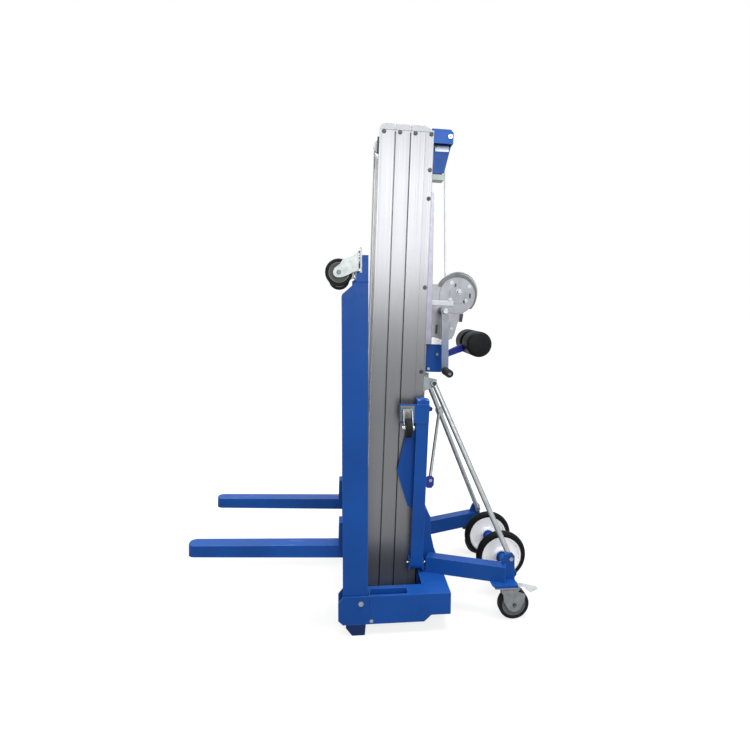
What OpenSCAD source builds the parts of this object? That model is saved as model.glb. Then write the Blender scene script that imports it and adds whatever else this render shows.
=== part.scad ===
// Aluminium stacker with a three-stage lifting mast, hand winch and fold-out legs.
// X points to the rear, Y to the far side, Z up. Sizes are in millimetres.

/* [Mast] */
// Backward lean of the mast in degrees
mast_lean = 1.8; // [0:0.1:3]
// Width across each mast section
mast_w = 280; // [260:2:300]
// Length of each mast section
section_h = 1901; // [1860:1:1960]
// Depth of the front mast section and of the middle one
front_depth = 60; // [56:1:66]
// Depth of the fixed rear section
rear_depth = 92; // [88:1:100]
// Gap between neighbouring sections
section_gap = 4; // [3:0.5:6]
// Wall of the mast extrusions
mast_wall = 4; // [3:0.5:5]
// Width of the turned-in front lips
lip_w = 20; // [18:1:22]
// Travel of each stage along the mast
stage_travel = 1620; // [1400:10:1640]
// Height of the mast end caps
cap_h = 22; // [14:1:30]

/* [Base] */
// Height of the deck above the floor
deck_z = 156; // [150:1:162]
// Front face of the side beams
beam_front_x = 106; // [105:1:112]
// Rear edge of the deck
deck_rear_x = 426; // [410:1:440]
// Width across the two side beams
base_w = 748; // [730:2:780]
// Width of one side beam
beam_w = 78; // [74:1:86]
// Sheet thickness of the base
base_wall = 6; // [4:0.5:7]
// Length of one rear outrigger
outrigger_len = 327; // [310:1:340]
// Angle of the outriggers away from straight back
outrigger_yaw = 21.9; // [20:0.1:24]

/* [Front legs] */
// Depth of a front leg, front to back, when folded up
leg_d = 96; // [90:1:100]
// Width of a front leg across the machine
leg_w = 62; // [56:1:62]
// Distance from the leg pivot to the shoulder at its end
leg_len = 1176; // [1000:2:1250]
// Radius of the front caster wheels
front_wheel_r = 50; // [45:1:52]

/* [Forks] */
// Reach of the forks in front of the mast
fork_reach = 690; // [500:5:900]
// Width of one fork
fork_w = 69; // [60:1:74]
// Outer edge of the forks from the centre line
fork_out = 295; // [280:1:296]
// Height of the fork top above the floor, along the mast
fork_top = 325.5; // [300:0.5:340]
// Height of a fork at its root
fork_root_h = 50; // [46:1:54]
// Height of a fork at its tip
fork_tip_h = 44; // [38:1:46]

/* [Stabilisers] */
// Length of a stabiliser from its pivot
stabiliser_len = 689; // [600:1:720]
// Side of the square stabiliser tube
stabiliser_w = 50; // [44:1:50]
// Radius of the stabiliser wheels
stabiliser_wheel_r = 37.5; // [30:0.5:40]

/* [Wheels] */
// Radius of the rear caster wheels
rear_wheel_r = 62.5; // [56:0.5:62.5]
// Radius of the transport wheels
transport_r = 110; // [90:1:115]
// Half distance between the transport wheels
transport_y = 113; // [90:1:130]
// Width of a transport wheel
transport_w = 34; // [28:1:38]
// Radius of the loading roller
roller_r = 54; // [46:1:58]
// Length across the two halves of the loading roller
roller_w = 236; // [200:2:250]

/* [Winch] */
// Radius of the bare winch drum
drum_core_r = 42.5; // [36:0.5:44]
// Number of turns of rope on the drum
rope_turns = 9; // [5:1:10]
// Radius of the lifting rope
rope_r = 3; // [2.5:0.1:3]
// Gear module of the winch
gear_module = 2.5; // [2.5:0.1:2.6]
// Teeth on the drum gear
drum_teeth = 66; // [60:1:68]
// Teeth on the crank pinion
pinion_teeth = 22; // [20:1:24]
// Length of the crank arm
crank_len = 245; // [180:1:250]
// Length of the crank grip
grip_len = 100; // [90:1:110]

/* [Hidden] */
$fn = 64;

// Clearances shared by all the moving pieces
seat_gap = 0.3;      // between a piece and the seat it lies on
run_gap = 0.08;      // radial play of a shaft in its bore
side_play = 1;       // end play beside a turning piece
slide_gap = 1.5;     // between a slide tongue and the lip that holds it
glide_gap = 0.6;     // between a glide block and the wall it runs on
eps = 1;             // how far a cut runs past a face

// Mast, in its own leaning frame: u rearward, w up along the mast
mast_foot_x = 96;
half_w = mast_w / 2;
lip_in = half_w - lip_w;
mid_u = front_depth + section_gap;
outer_u = mid_u + front_depth - 3 + section_gap;
mid_depth = front_depth - 3;
rear_u = outer_u + rear_depth;
plate_z = 44;                    // underside of the floor plate
floor_plate_t = 6;
mast_foot_w = (plate_z + floor_plate_t + seat_gap + rear_u * sin(mast_lean)) / cos(mast_lean);
mast_top_w = mast_foot_w + section_h;
tongue_stem_t = 4;
tongue_in = lip_in - 7;          // inner face of the tongue stems
tongue_out = lip_in + 8;         // outer edge of the tongue heads
tongue_reach = section_gap + mast_wall + slide_gap + tongue_stem_t;
rail_in = 95;
rail_out = 105;
rail_depth = 12;
rail_top_w = mast_top_w - 246;
web_half = tongue_in - 5;        // where the back plate meets the side profiles
joint_gap = 0.05;                // between the back plate and a side profile
cap_lip = 1.5;                   // how far a cap stands proud of the walls
cap_open = half_w - 10.5;        // half width of the open part of a cap
cap_back = 9;                    // rear wall of a cap
front_cap_r = 22;                // rounded front top corner
rear_cap_run = 35;               // chamfer at the rear top corner
rear_cap_drop = 18;

// Glide blocks at the lower end of each moving section
glide_depth = 20;
glide_in = 105;
glide_h = 120;
glide_out = half_w - mast_wall - glide_gap;
glide_lift = 4;

// Rope and its sheaves
sheave_r = 26;
sheave_flange = 4;
sheave_w = 14;
sheave_axle_r = 6;
sheave_low_w = mast_foot_w + 33;
sheave_top_w = mast_top_w - 33;
mid_low_u = outer_u + 46;
mid_up_u = mid_low_u - 2 * sheave_r;
inner_low_u = mid_up_u - 2 * sheave_r;
inner_up_u = inner_low_u - 2 * sheave_r;
cheek_t = 4;
cheek_in = sheave_w / 2 + side_play;
cheek_out = cheek_in + cheek_t;
slot_half = cheek_in;
rope_lap = 0.5;                  // how far a straight length of rope runs into a wrap
rope_fit = 0.05;                 // how much thinner the rope is round a sheave
head_sheave_r = 44;
head_sheave_w = 16;
head_axle_r = 8;
head_u = mid_low_u + sheave_r + head_sheave_r;
head_w = mast_top_w - 23;

// Bolts
mast_bolt_r = 6.5;
mast_bolt_h = 5;
mast_shank_r = 3;
hole_play = 0.2;
bolt_back = 17.5;                // bolts behind each section's front edge
bolt_drop = 8;                   // bolts below the top of the sections
rear_bolts_w = [-8, -146, -258, -612, -958];  // rear edge bolts from the section tops
rear_bolt_u = rear_u - 11;
shoe_bolts_w = [262, 385];       // bolts of the foot of the mast, along the mast

// Blue box on the back of the mast, and the loading roller on its arm
box_low_w = 991;
box_h = 119;
box_depth = 87;
box_high_w = box_low_w + box_h;
box_rear_u = rear_u + box_depth;
box_half = 60;
box_wall = 5;
box_bolts = [[box_rear_u - 21, box_high_w - 42], [rear_u + 31, box_low_w + 14]];
box_bolt_r = 4;
plug_half = 50;
plug_h = 33;
plug_round = 34;
plug_front = 23;                 // from the mast to the plug
plug_depth = 56;
roller_u = box_rear_u + 147;
roller_w_pos = box_high_w + 9;
roller_axle_r = 8;
arm_half = 13;
arm_boss_r = 17;
arm_root = [box_low_w + 39, box_low_w + 85];
arm_bend_u = box_rear_u + 41;
arm_bend = [box_low_w + 65, box_low_w + 93];

// Winch, in the mast frame
drum_u = rear_u + 147;
drum_w = box_high_w + 227;
winch_low_w = box_high_w + 19;
winch_high_w = drum_w + 28;
winch_plate_in = 58;
winch_plate_t = 4;
winch_base_t = 4;
winch_base_half = 90;
drum_shaft_r = 10;
drum_half = 34;
drum_flange_t = 4;
drum_flange_r = 62;
gear_t = 10;
gear_y = -(drum_half + drum_flange_t + 2 + gear_t);
gear_r = gear_module * drum_teeth / 2;
pinion_r = gear_module * pinion_teeth / 2;
tooth_add = 0.8 * gear_module;
tooth_ded = 1.2 * gear_module;
shaft_dir = 229.1;               // direction from drum to crank shaft
crank_u = drum_u + (gear_r + pinion_r) * cos(shaft_dir);
crank_w = drum_w + (gear_r + pinion_r) * sin(shaft_dir);
crank_shaft_r = 9;
crank_arm_in = half_w + 9;
crank_arm_t = 8;
crank_arm_w = 29;
crank_tilt = 2.3;
grip_r = 15;
grip_pin_r = 6;
cover_r = gear_r - 6;
rope_seat = 0.8;                 // room for the flat stretches of the wound rope
wind_r = drum_core_r + rope_r + rope_seat;

// Rope run between the head sheave and the drum, tangent to both
run_dx = drum_u - head_u;
run_dw = drum_w - head_w;
run_d = sqrt(run_dx * run_dx + run_dw * run_dw);
run_angle = atan2(run_dx, -run_dw) - asin((head_sheave_r + wind_r) / run_d);
run_len = sqrt(run_d * run_d - pow(head_sheave_r + wind_r, 2));
swept_r = wind_r + rope_r + 1;
run_stop = sqrt(swept_r * swept_r - pow(wind_r - rope_r, 2));

// Head bracket
head_half = 85;
head_low_w = head_w - 1;
head_high_w = head_w + 55;
head_rear_u = 306;
gusset_half = 30;
gusset_low_w = head_w - 113;
bracket_t = 4;
keeper_u = 293;
keeper_w = head_w + 28;
keeper_r = 5;
guide_h = 22;
guide_rear_u = 283;

// Base
beam_out = base_w / 2;
beam_in = beam_out - beam_w;
beam_step_x = 322;
beam_step_run = 28;
beam_step_z = 70;
ear_t = 6;
ear_front_x = -11;
ear_shoulder = [19, 24];         // cut at the top front corner of an ear
ear_low_cut = 18;
slot_len = 145;
slot_w = 44;
slot_depth = 44;
slot_in = 318;
deck_front_x = 322;
shoe_half = half_w + 1.5;
shoe_t = 6;
shoe_front_x = 296;
shoe_top_z = 410;
rail_low_w = (shoe_top_z + 3 + (rear_u + rail_depth) * sin(mast_lean)) / cos(mast_lean);
foot_front_x = 18;
foot_rear_x = 95;
foot_cut = [24, 32];              // slope under the front of a foot

// Front legs
pivot_x = 76;
pivot_z = 130;
pivot_r = 8;
leg_rear = 27;                   // leg face behind the pivot
leg_y = beam_out - ear_t - 2 - leg_w / 2;
leg_wall = 4;
leg_neck_t = 24;
neck_len = 142;
pad_t = 6;
front_trail = 43;
front_drop = pivot_x + leg_rear - leg_neck_t - pad_t - (pivot_x - pivot_z + front_wheel_r);
front_kingpin_up = leg_len + 123;
front_wheel_w = 30;

// Stabilisers, in the mast frame
stab_u = 211;
stab_pivot_w = 199;
stab_in = shoe_half + shoe_t + 6.5;
stab_pivot_y = stab_in + stabiliser_w / 2;
stab_pin_r = 6;
stab_wall = 4;
stab_ear_t = 6;
stab_front_u = stab_u - stabiliser_w / 2 - seat_gap;
stab_rear_u = stab_u + stabiliser_w / 2 + seat_gap;
stab_king_u = 146;
stab_king_up = 639;
stab_trail = 49;                 // wheel hangs straight below its kingpin
stab_plate_t = 4;
stab_wheel_w = 26;
stab_drop = stabiliser_wheel_r + 11;

// Outriggers, braces and rear casters
outrigger_root = [362, 176];
outrigger_w = 50;
outrigger_h = 66;
outrigger_wall = 3;
pad_front_x = 600;
pad_rear_x = 706;
pad_z = 144;
pad_in = 262;
pad_out = 338;
king_x = 660;
king_y = 300;
caster_plate_t = 5;
caster_plate = [84, 72];
caster_plate_front = 46;         // plate ahead of the kingpin
caster_plate_z = pad_z - caster_plate_t;
rear_drop = caster_plate_z - rear_wheel_r;
rear_trail = 38;
rear_wheel_w = 32;
lug_in = 284.5;
lug_t = 7;
brace_r = 11;
brace_low = [688, lug_in - seat_gap - brace_r, 245];
brace_top_u = 264;
brace_top_w = 952;
brace_top_y = rail_out + 6 + seat_gap + brace_r;
eye_r = 13;
eye_bolt_r = 5;
axle_x = 698;
axle_z = 178;
axle_r = 18;
hub_r = 30;
collar_r = 25;
collar_w = 6;

// Strut from the mast to the far brace
strut_u = 286.5;
strut_w = 499.3;
strut_low = [mast_x(strut_u, strut_w), 0, mast_z(strut_u, strut_w)];
strut_share = 0.25;
strut_r = 7.5;
strut_eye_r = 11;
strut_eye_half = 8;
strut_bolt_r = 4;
strut_lug_t = 5;
strut_lug_out = strut_eye_half + seat_gap + strut_lug_t;

// Casters
king_r = 6;
race_h = 5;
crown_t = 3.5;
fork_t = 3;
wheel_play = 3;
caster_axle_r = 6;

// Bounding box of the machine, which sets the origin under its middle
front_x = mast_foot_x - fork_reach * cos(mast_lean) + (fork_top - fork_tip_h) * sin(mast_lean);
rear_x = axle_x + transport_r;
centre_x = (front_x + rear_x) / 2;

// World place of a point of the mast frame
function mast_x(u, w) = mast_foot_x + u * cos(mast_lean) + w * sin(mast_lean);
function mast_z(u, w) = -u * sin(mast_lean) + w * cos(mast_lean);

module placed() {
    translate([-centre_x, 0, 0]) children();
}

module in_mast() {
    placed() translate([mast_foot_x, 0, 0]) rotate([0, mast_lean, 0]) children();
}

module both_sides() {
    children();
    mirror([0, 1, 0]) children();
}

module near_side() {
    mirror([0, 1, 0]) children();
}

// Extrudes an outline drawn in X and Z from y0 to y1
module along_y(y0, y1) {
    translate([0, y1, 0]) rotate([90, 0, 0]) linear_extrude(y1 - y0) children();
}

// Block between two corners
module block(a, b) {
    translate(a) cube([b.x - a.x, b.y - a.y, b.z - a.z]);
}

// Round bar along Y between y0 and y1
module bar_y(x, z, r, y0, y1) {
    translate([x, y1, z]) rotate([90, 0, 0]) cylinder(r = r, h = y1 - y0);
}

// Round bar between two points
module bar_between(a, b, r) {
    d = b - a;
    translate(a)
        rotate([0, acos(d.z / norm(d)), atan2(d.y, d.x)])
            cylinder(r = r, h = norm(d));
}

// Hexagon-headed bolt along Y, its head outside y_face and its shank going inwards
module bolt_y(x, z, y_face, head_r, head_h, shank_r, shank_len) {
    translate([x, y_face, z]) rotate([-90, 0, 0]) {
        cylinder(r = head_r, h = head_h, $fn = 6);
        translate([0, 0, -shank_len]) cylinder(r = shank_r, h = shank_len + head_h / 2);
    }
}

// Grooved rope sheave turning about Y, with its bore
module sheave(r, width, bore_r) {
    rotate([90, 0, 0]) rotate_extrude() difference() {
        translate([bore_r, -width / 2]) square([r + sheave_flange - bore_r, width]);
        translate([r, 0]) circle(r = rope_r + seat_gap, $fn = 32);
        polygon([
            [r, -(rope_r + seat_gap)], [r + sheave_flange + eps, -(rope_r + 2)],
            [r + sheave_flange + eps, rope_r + 2], [r, rope_r + seat_gap]
        ]);
    }
}

// Half turn of rope in a sheave's groove, over the top or under the bottom
module rope_wrap(r, under) {
    rotate([90, 0, 0]) rotate([0, 0, under ? 180 : 0])
        rotate_extrude(angle = 180) translate([r, 0]) circle(r = rope_r - rope_fit, $fn = 24);
}

// Caster fork hanging below z = 0: kingpin bore, crown, two legs and the wheel axle
module caster_fork(drop, trail, wheel_r, wheel_width, pedal_ear) {
    half = wheel_width / 2 + wheel_play;
    crown_z = -race_h - crown_t;
    leg_front = -16;
    leg_rear_x = min(trail, wheel_r * 0.8);
    difference() {
        union() {
            translate([0, 0, -race_h]) cylinder(r = 20, h = race_h - seat_gap);
            block([-21, -half - fork_t, crown_z], [21, half + fork_t, -race_h]);
        }
        translate([0, 0, crown_z - eps]) cylinder(r = king_r + run_gap, h = race_h + crown_t + 2 * eps);
    }
    for (side = [0, 1]) mirror([0, side, 0]) along_y(half, half + fork_t) {
        polygon([
            [leg_front, -race_h], [max(21, trail - 6) + pedal_ear, -race_h],
            [trail + 12, -drop + 4], [trail - 12, -drop + 2], [leg_front, crown_z - 14]
        ]);
        translate([trail, -drop]) circle(r = 13);
    }
    bar_y(trail, -drop, caster_axle_r, -half - fork_t - 4, half + fork_t + 4);
}

// Kingpin that carries a caster fork, with its nut inside the fork
module kingpin() {
    translate([0, 0, -race_h - crown_t - 4]) cylinder(r = king_r, h = race_h + crown_t + 4 + eps);
    translate([0, 0, -race_h - crown_t - 4 - seat_gap]) cylinder(r = king_r + 3, h = 4, $fn = 6);
}

// Wheel about Y at the origin: core with its bore, and a rounded tyre
module wheel(r, width, tyre_t, core_colour) {
    rim_r = r - tyre_t;
    color(core_colour) rotate([90, 0, 0]) rotate_extrude() difference() {
        translate([caster_axle_r + run_gap, -width / 2 - wheel_play + side_play])
            square([rim_r - caster_axle_r - run_gap - seat_gap, width + 2 * wheel_play - 2 * side_play]);
        for (side = [-1, 1]) translate([caster_axle_r + 6, side * (width / 2 + 2)])
            square([2 * rim_r, width / 3], center = true);
        for (side = [-1, 1]) translate([(rim_r + 12) / 2, side * (width / 2 + 1)])
            square([rim_r - 20, width / 3], center = true);
    }
    color("#202224") rotate([90, 0, 0]) rotate_extrude() difference() {
        translate([rim_r, -width / 2]) square([tyre_t, width]);
        for (side = [-1, 1]) translate([r, side * width / 2]) rotate(45)
            square([5, 5], center = true);
    }
}

// Cross-section of a mast extrusion: channel open to the front, with tongues behind
module section_outline(depth, tongues) {
    difference() {
        translate([0, -half_w]) square([depth, mast_w]);
        translate([mast_wall, -half_w + mast_wall])
            square([depth - 2 * mast_wall, mast_w - 2 * mast_wall]);
        translate([-eps, -lip_in]) square([mast_wall + 2 * eps, 2 * lip_in]);
    }
    if (tongues) both_tongues(depth);
}

module both_tongues(depth) {
    for (side = [0, 1]) mirror([0, side]) {
        translate([depth - eps, tongue_in]) square([tongue_reach + eps, tongue_stem_t]);
        translate([depth + tongue_reach - tongue_stem_t, tongue_in])
            square([tongue_stem_t, tongue_out - tongue_in]);
    }
}

// Section made up of a back plate and two side profiles, with hairline joints between them
module section_bar(u, depth, tongues) {
    translate([u, 0, mast_foot_w]) linear_extrude(section_h) difference() {
        section_outline(depth, tongues);
        for (side = [0, 1]) mirror([0, side]) translate([depth - mast_wall - eps, web_half])
            square([mast_wall + 2 * eps, joint_gap]);
    }
}

// Holes for the bolt near the top of each section
module top_bolt_holes(u) {
    both_sides() bar_y(u + bolt_back, mast_top_w - bolt_drop, mast_shank_r + hole_play,
        half_w - mast_wall - eps, half_w + eps);
}

module top_bolts(u) {
    both_sides() bolt_y(u + bolt_back, mast_top_w - bolt_drop, half_w,
        mast_bolt_r, mast_bolt_h, mast_shank_r, mast_wall);
}

// End cap: a rim over the walls, open in the channel
module section_cap(u, depth, side_outline) {
    translate([u, 0, 0]) difference() {
        intersection() {
            block([0, -half_w - cap_lip, mast_top_w], [depth, half_w + cap_lip, mast_top_w + cap_h]);
            along_y(-half_w - cap_lip, half_w + cap_lip) polygon(side_outline);
        }
        block([-eps, -cap_open, mast_top_w - eps], [depth - cap_back, cap_open, mast_top_w + cap_h + eps]);
    }
}

// Two cheeks that carry a sheave's axle, drawn from u0 to u1 between two heights
module sheave_cheeks(u0, u1, w0, w1, axle_u, axle_w) {
    both_sides() difference() {
        block([u0, cheek_in, w0], [u1, cheek_out, w1]);
        bar_y(axle_u, axle_w, sheave_axle_r + run_gap, cheek_in - eps, cheek_out + eps);
    }
}

// Glide blocks behind the tongue heads of the section that ends at u_end
module glide_pair(u_end, w0, height) {
    both_sides() block([u_end, glide_in, w0], [u_end + glide_depth, glide_out, w0 + height]);
}

// Base frame

module ear_outline() {
    polygon([
        [ear_front_x, plate_z + ear_low_cut], [ear_front_x, deck_z - ear_shoulder.y],
        [ear_front_x + ear_shoulder.x, deck_z], [beam_front_x + base_wall, deck_z],
        [beam_front_x + base_wall, plate_z], [ear_front_x + ear_low_cut, plate_z]
    ]);
}

module beam_outline() {
    polygon([
        [beam_front_x, plate_z], [beam_step_x, plate_z],
        [beam_step_x + beam_step_run, beam_step_z], [deck_rear_x, beam_step_z],
        [deck_rear_x, deck_z], [beam_front_x, deck_z]
    ]);
}

module side_beam() {
    difference() {
        along_y(beam_in, beam_out) beam_outline();
        difference() {
            block([beam_front_x + base_wall, beam_in + base_wall, -eps],
                [deck_rear_x - base_wall, beam_out - base_wall, deck_z - base_wall]);
            block([beam_front_x, slot_in - base_wall, deck_z - slot_depth - base_wall],
                [beam_front_x + base_wall + slot_len + base_wall, slot_in + slot_w + base_wall, deck_z]);
        }
        block([beam_front_x + base_wall, slot_in, deck_z - slot_depth],
            [beam_front_x + base_wall + slot_len, slot_in + slot_w, deck_z + eps]);
    }
    for (y = [beam_in, beam_out - ear_t]) difference() {
        along_y(y, y + ear_t) ear_outline();
        bar_y(pivot_x, pivot_z, pivot_r + run_gap, y - eps, y + ear_t + eps);
    }
    block([foot_front_x, beam_in + eps, plate_z], [beam_front_x + eps, beam_out - eps, plate_z + 5]);
}

module shoe_outline(inset) {
    polygon([
        [shoe_front_x, deck_z - base_wall], [deck_rear_x - base_wall - inset, deck_z - base_wall],
        [deck_rear_x - 27 - inset, 220], [382 - inset, 294], [379 - inset, 373],
        [360 - inset, shoe_top_z - inset], [shoe_front_x, shoe_top_z - inset]
    ]);
}

module base_frame() {
    color("#2b57ad") placed() difference() {
        union() {
            both_sides() side_beam();
            block([mast_foot_x, -beam_in - eps, plate_z],
                [deck_rear_x, beam_in + eps, plate_z + floor_plate_t]);
            block([deck_front_x, -beam_in - eps, deck_z - base_wall], [deck_rear_x, beam_in + eps, deck_z]);
            block([deck_rear_x - base_wall, -beam_in - eps, beam_step_z],
                [deck_rear_x, beam_in + eps, deck_z]);
            both_sides() block([deck_front_x, shoe_half + shoe_t, plate_z],
                [deck_rear_x, shoe_half + 2 * shoe_t, deck_z]);
            both_sides() along_y(shoe_half, shoe_half + shoe_t) shoe_outline(0);
            difference() {
                along_y(-shoe_half - eps, shoe_half + eps) shoe_outline(0);
                along_y(-shoe_half - 2 * eps, shoe_half + 2 * eps) difference() {
                    shoe_outline(shoe_t);
                    translate([shoe_front_x - eps, 0]) square([eps / 2, deck_z]);
                }
                block([shoe_front_x - eps, -shoe_half - 2 * eps, deck_z - base_wall - eps],
                    [mast_x(rear_u, shoe_top_z) + 2, shoe_half + 2 * eps, shoe_top_z + eps]);
            }
        }
        translate([mast_foot_x, 0, 0]) rotate([0, mast_lean, 0]) both_sides()
            for (w = shoe_bolts_w) bar_y(rear_bolt_u, w, mast_shank_r + 2 + hole_play,
                half_w - eps, shoe_half + shoe_t + eps);
        both_sides() bar_y(beam_front_x + 10, plate_z + 14, 5 + hole_play,
            beam_out - base_wall - eps, beam_out + eps);
    }
}

module floor_feet() {
    color("#23293f") placed() both_sides() along_y(beam_in + 4, beam_out - 1) polygon([
        [foot_front_x, plate_z], [foot_rear_x, plate_z], [foot_rear_x - 4, 0],
        [foot_front_x + foot_cut.x, 0], [foot_front_x, foot_cut.y]
    ]);
}

// Fixed mast section and what is bolted to it

module mast_outer() {
    color("#c9ced2") in_mast() difference() {
        union() {
            section_bar(outer_u, rear_depth, false);
            both_sides() block([rear_u - eps, rail_in, rail_low_w],
                [rear_u + rail_depth, rail_out, rail_top_w]);
        }
        top_bolt_holes(outer_u);
        both_sides() for (w = rear_bolts_w) bar_y(rear_bolt_u, mast_top_w + w,
            mast_shank_r + hole_play, half_w - mast_wall - eps, half_w + eps);
        both_sides() for (w = shoe_bolts_w) bar_y(rear_bolt_u, w, mast_shank_r + 2 + hole_play,
            half_w - mast_wall - eps, half_w + eps);
        block([rear_u - mast_wall - eps, -12, head_w - head_sheave_r - 14],
            [rear_u + eps, 12, mast_top_w + eps]);
    }
}

module mast_outer_cap() {
    color("#dfe3e6") in_mast() difference() {
        section_cap(outer_u, rear_depth, [
            [0, mast_top_w], [rear_depth, mast_top_w],
            [rear_depth, mast_top_w + cap_h - rear_cap_drop],
            [rear_depth - rear_cap_run, mast_top_w + cap_h], [0, mast_top_w + cap_h]
        ]);
        block([rear_u - 20, -12, mast_top_w - eps], [rear_u + eps, 12, mast_top_w + cap_h + eps]);
    }
}

// Bolts, hinge bolts and fixed axles of the frame
module frame_fasteners() {
    color("#b9bcbe") placed() {
        both_sides() {
            bolt_y(pivot_x, pivot_z, beam_out, 11, 6, pivot_r, beam_w + 4);
            bolt_y(beam_front_x + 10, plate_z + 14, beam_out, 8, 4, 5, base_wall);
            bolt_y(brace_low.x, brace_low.z, lug_in + lug_t, 9, 6, eye_bolt_r, lug_t + 2 * brace_r + 4);
        }
        mirror([0, 1, 0]) bolt_y(strut_low.x, strut_low.z, strut_lug_out + seat_gap, 8, 5,
            strut_bolt_r, strut_lug_out + strut_eye_half);
    }
    color("#4b4d50") in_mast() both_sides() {
        top_bolts_one(outer_u);
        for (w = rear_bolts_w) bolt_y(rear_bolt_u, mast_top_w + w, half_w,
            mast_bolt_r, mast_bolt_h, mast_shank_r, mast_wall);
        for (w = shoe_bolts_w) bolt_y(rear_bolt_u, w, shoe_half + shoe_t,
            8, 5, mast_shank_r + 2, shoe_t + mast_wall + cap_lip);
    }
    color("#b9bcbe") in_mast() {
        bar_y(head_u, head_w, head_axle_r, -gusset_half - 4, gusset_half + 4);
        bar_y(keeper_u, keeper_w, keeper_r, -head_half - 5, head_half + 5);
        bar_y(drum_u, drum_w, drum_shaft_r, -winch_plate_in - winch_plate_t - 6,
            winch_plate_in + winch_plate_t + 6);
        both_sides() {
            bolt_y(brace_top_u, brace_top_w, brace_top_y + brace_r + 2, 9, 6, eye_bolt_r,
                2 * brace_r + 14);
            translate([stab_u - stabiliser_w / 2 - stab_ear_t - 8, stab_pivot_y, stab_pivot_w])
                rotate([0, 90, 0]) cylinder(r = stab_pin_r, h = stabiliser_w + 2 * stab_ear_t + 16);
            for (p = box_bolts) bolt_y(p.x, p.y, box_half, 6, 4, box_bolt_r, box_wall);
        }
    }
}

module top_bolts_one(u) {
    bolt_y(u + bolt_back, mast_top_w - bolt_drop, half_w, mast_bolt_r, mast_bolt_h,
        mast_shank_r, mast_wall);
}

module outrigger_beam() {
    translate([outrigger_root.x, outrigger_root.y, deck_z]) rotate([0, 0, outrigger_yaw])
        difference() {
            block([0, -outrigger_w / 2, 0], [outrigger_len, outrigger_w / 2, outrigger_h]);
            block([-eps, -outrigger_w / 2 + outrigger_wall, outrigger_wall],
                [outrigger_len - 4, outrigger_w / 2 - outrigger_wall, outrigger_h - outrigger_wall]);
        }
}

module outrigger() {
    color("#2b57ad") {
        difference() {
            union() {
                outrigger_beam();
                along_y(pad_in, pad_out) polygon([
                    [pad_front_x, deck_z], [pad_front_x + 17, pad_z], [pad_rear_x, pad_z],
                    [pad_rear_x, deck_z + 0.5], [pad_front_x, deck_z + 0.5]
                ]);
                along_y(lug_in, lug_in + lug_t) polygon([
                    [640, deck_z], [pad_rear_x, deck_z], [pad_rear_x - 3, 255],
                    [692, 270], [664, 264], [648, 222]
                ]);
            }
            bar_y(brace_low.x, brace_low.z, eye_bolt_r + hole_play, lug_in - eps, lug_in + lug_t + eps);
        }
    }
    color("#b4b8ba") translate([king_x, king_y, 0]) {
        translate([-caster_plate_front, -caster_plate.y / 2, caster_plate_z])
            cube([caster_plate.x, caster_plate.y, caster_plate_t]);
        translate([0, 0, caster_plate_z]) kingpin();
    }
}

module outriggers() {
    placed() both_sides() outrigger();
}

// Far brace from the mast to the outrigger's lug, as a tube with an eye at each end
module brace() {
    top = [mast_x(brace_top_u, brace_top_w), brace_top_y, mast_z(brace_top_u, brace_top_w)];
    difference() {
        union() {
            bar_between(top, brace_low, brace_r);
            bar_y(top.x, top.z, eye_r, brace_top_y - brace_r, brace_top_y + brace_r);
            bar_y(brace_low.x, brace_low.z, eye_r, brace_low.y - brace_r, brace_low.y + brace_r);
        }
        bar_y(top.x, top.z, eye_bolt_r + hole_play, brace_top_y - 30, brace_top_y + 30);
        bar_y(brace_low.x, brace_low.z, eye_bolt_r + hole_play, brace_low.y - 30, brace_low.y + 30);
    }
}

module brace_strut() {
    top = [mast_x(brace_top_u, brace_top_w), brace_top_y, mast_z(brace_top_u, brace_top_w)];
    meet = top + strut_share * (brace_low - top);
    along = (brace_low - top) / norm(brace_low - top);
    difference() {
        union() {
            bar_between(strut_low, meet, strut_r);
            bar_between(meet - 15 * along, meet + 15 * along, brace_r + 6);
            bar_y(strut_low.x, strut_low.z, strut_eye_r, -strut_eye_half, strut_eye_half);
        }
        bar_between(meet - 40 * along, meet + 40 * along, brace_r + seat_gap);
        bar_y(strut_low.x, strut_low.z, strut_bolt_r + hole_play, -strut_lug_out, strut_lug_out);
    }
}

module braces() {
    color("#9aa0a3") placed() {
        both_sides() brace();
        brace_strut();
    }
}

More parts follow.
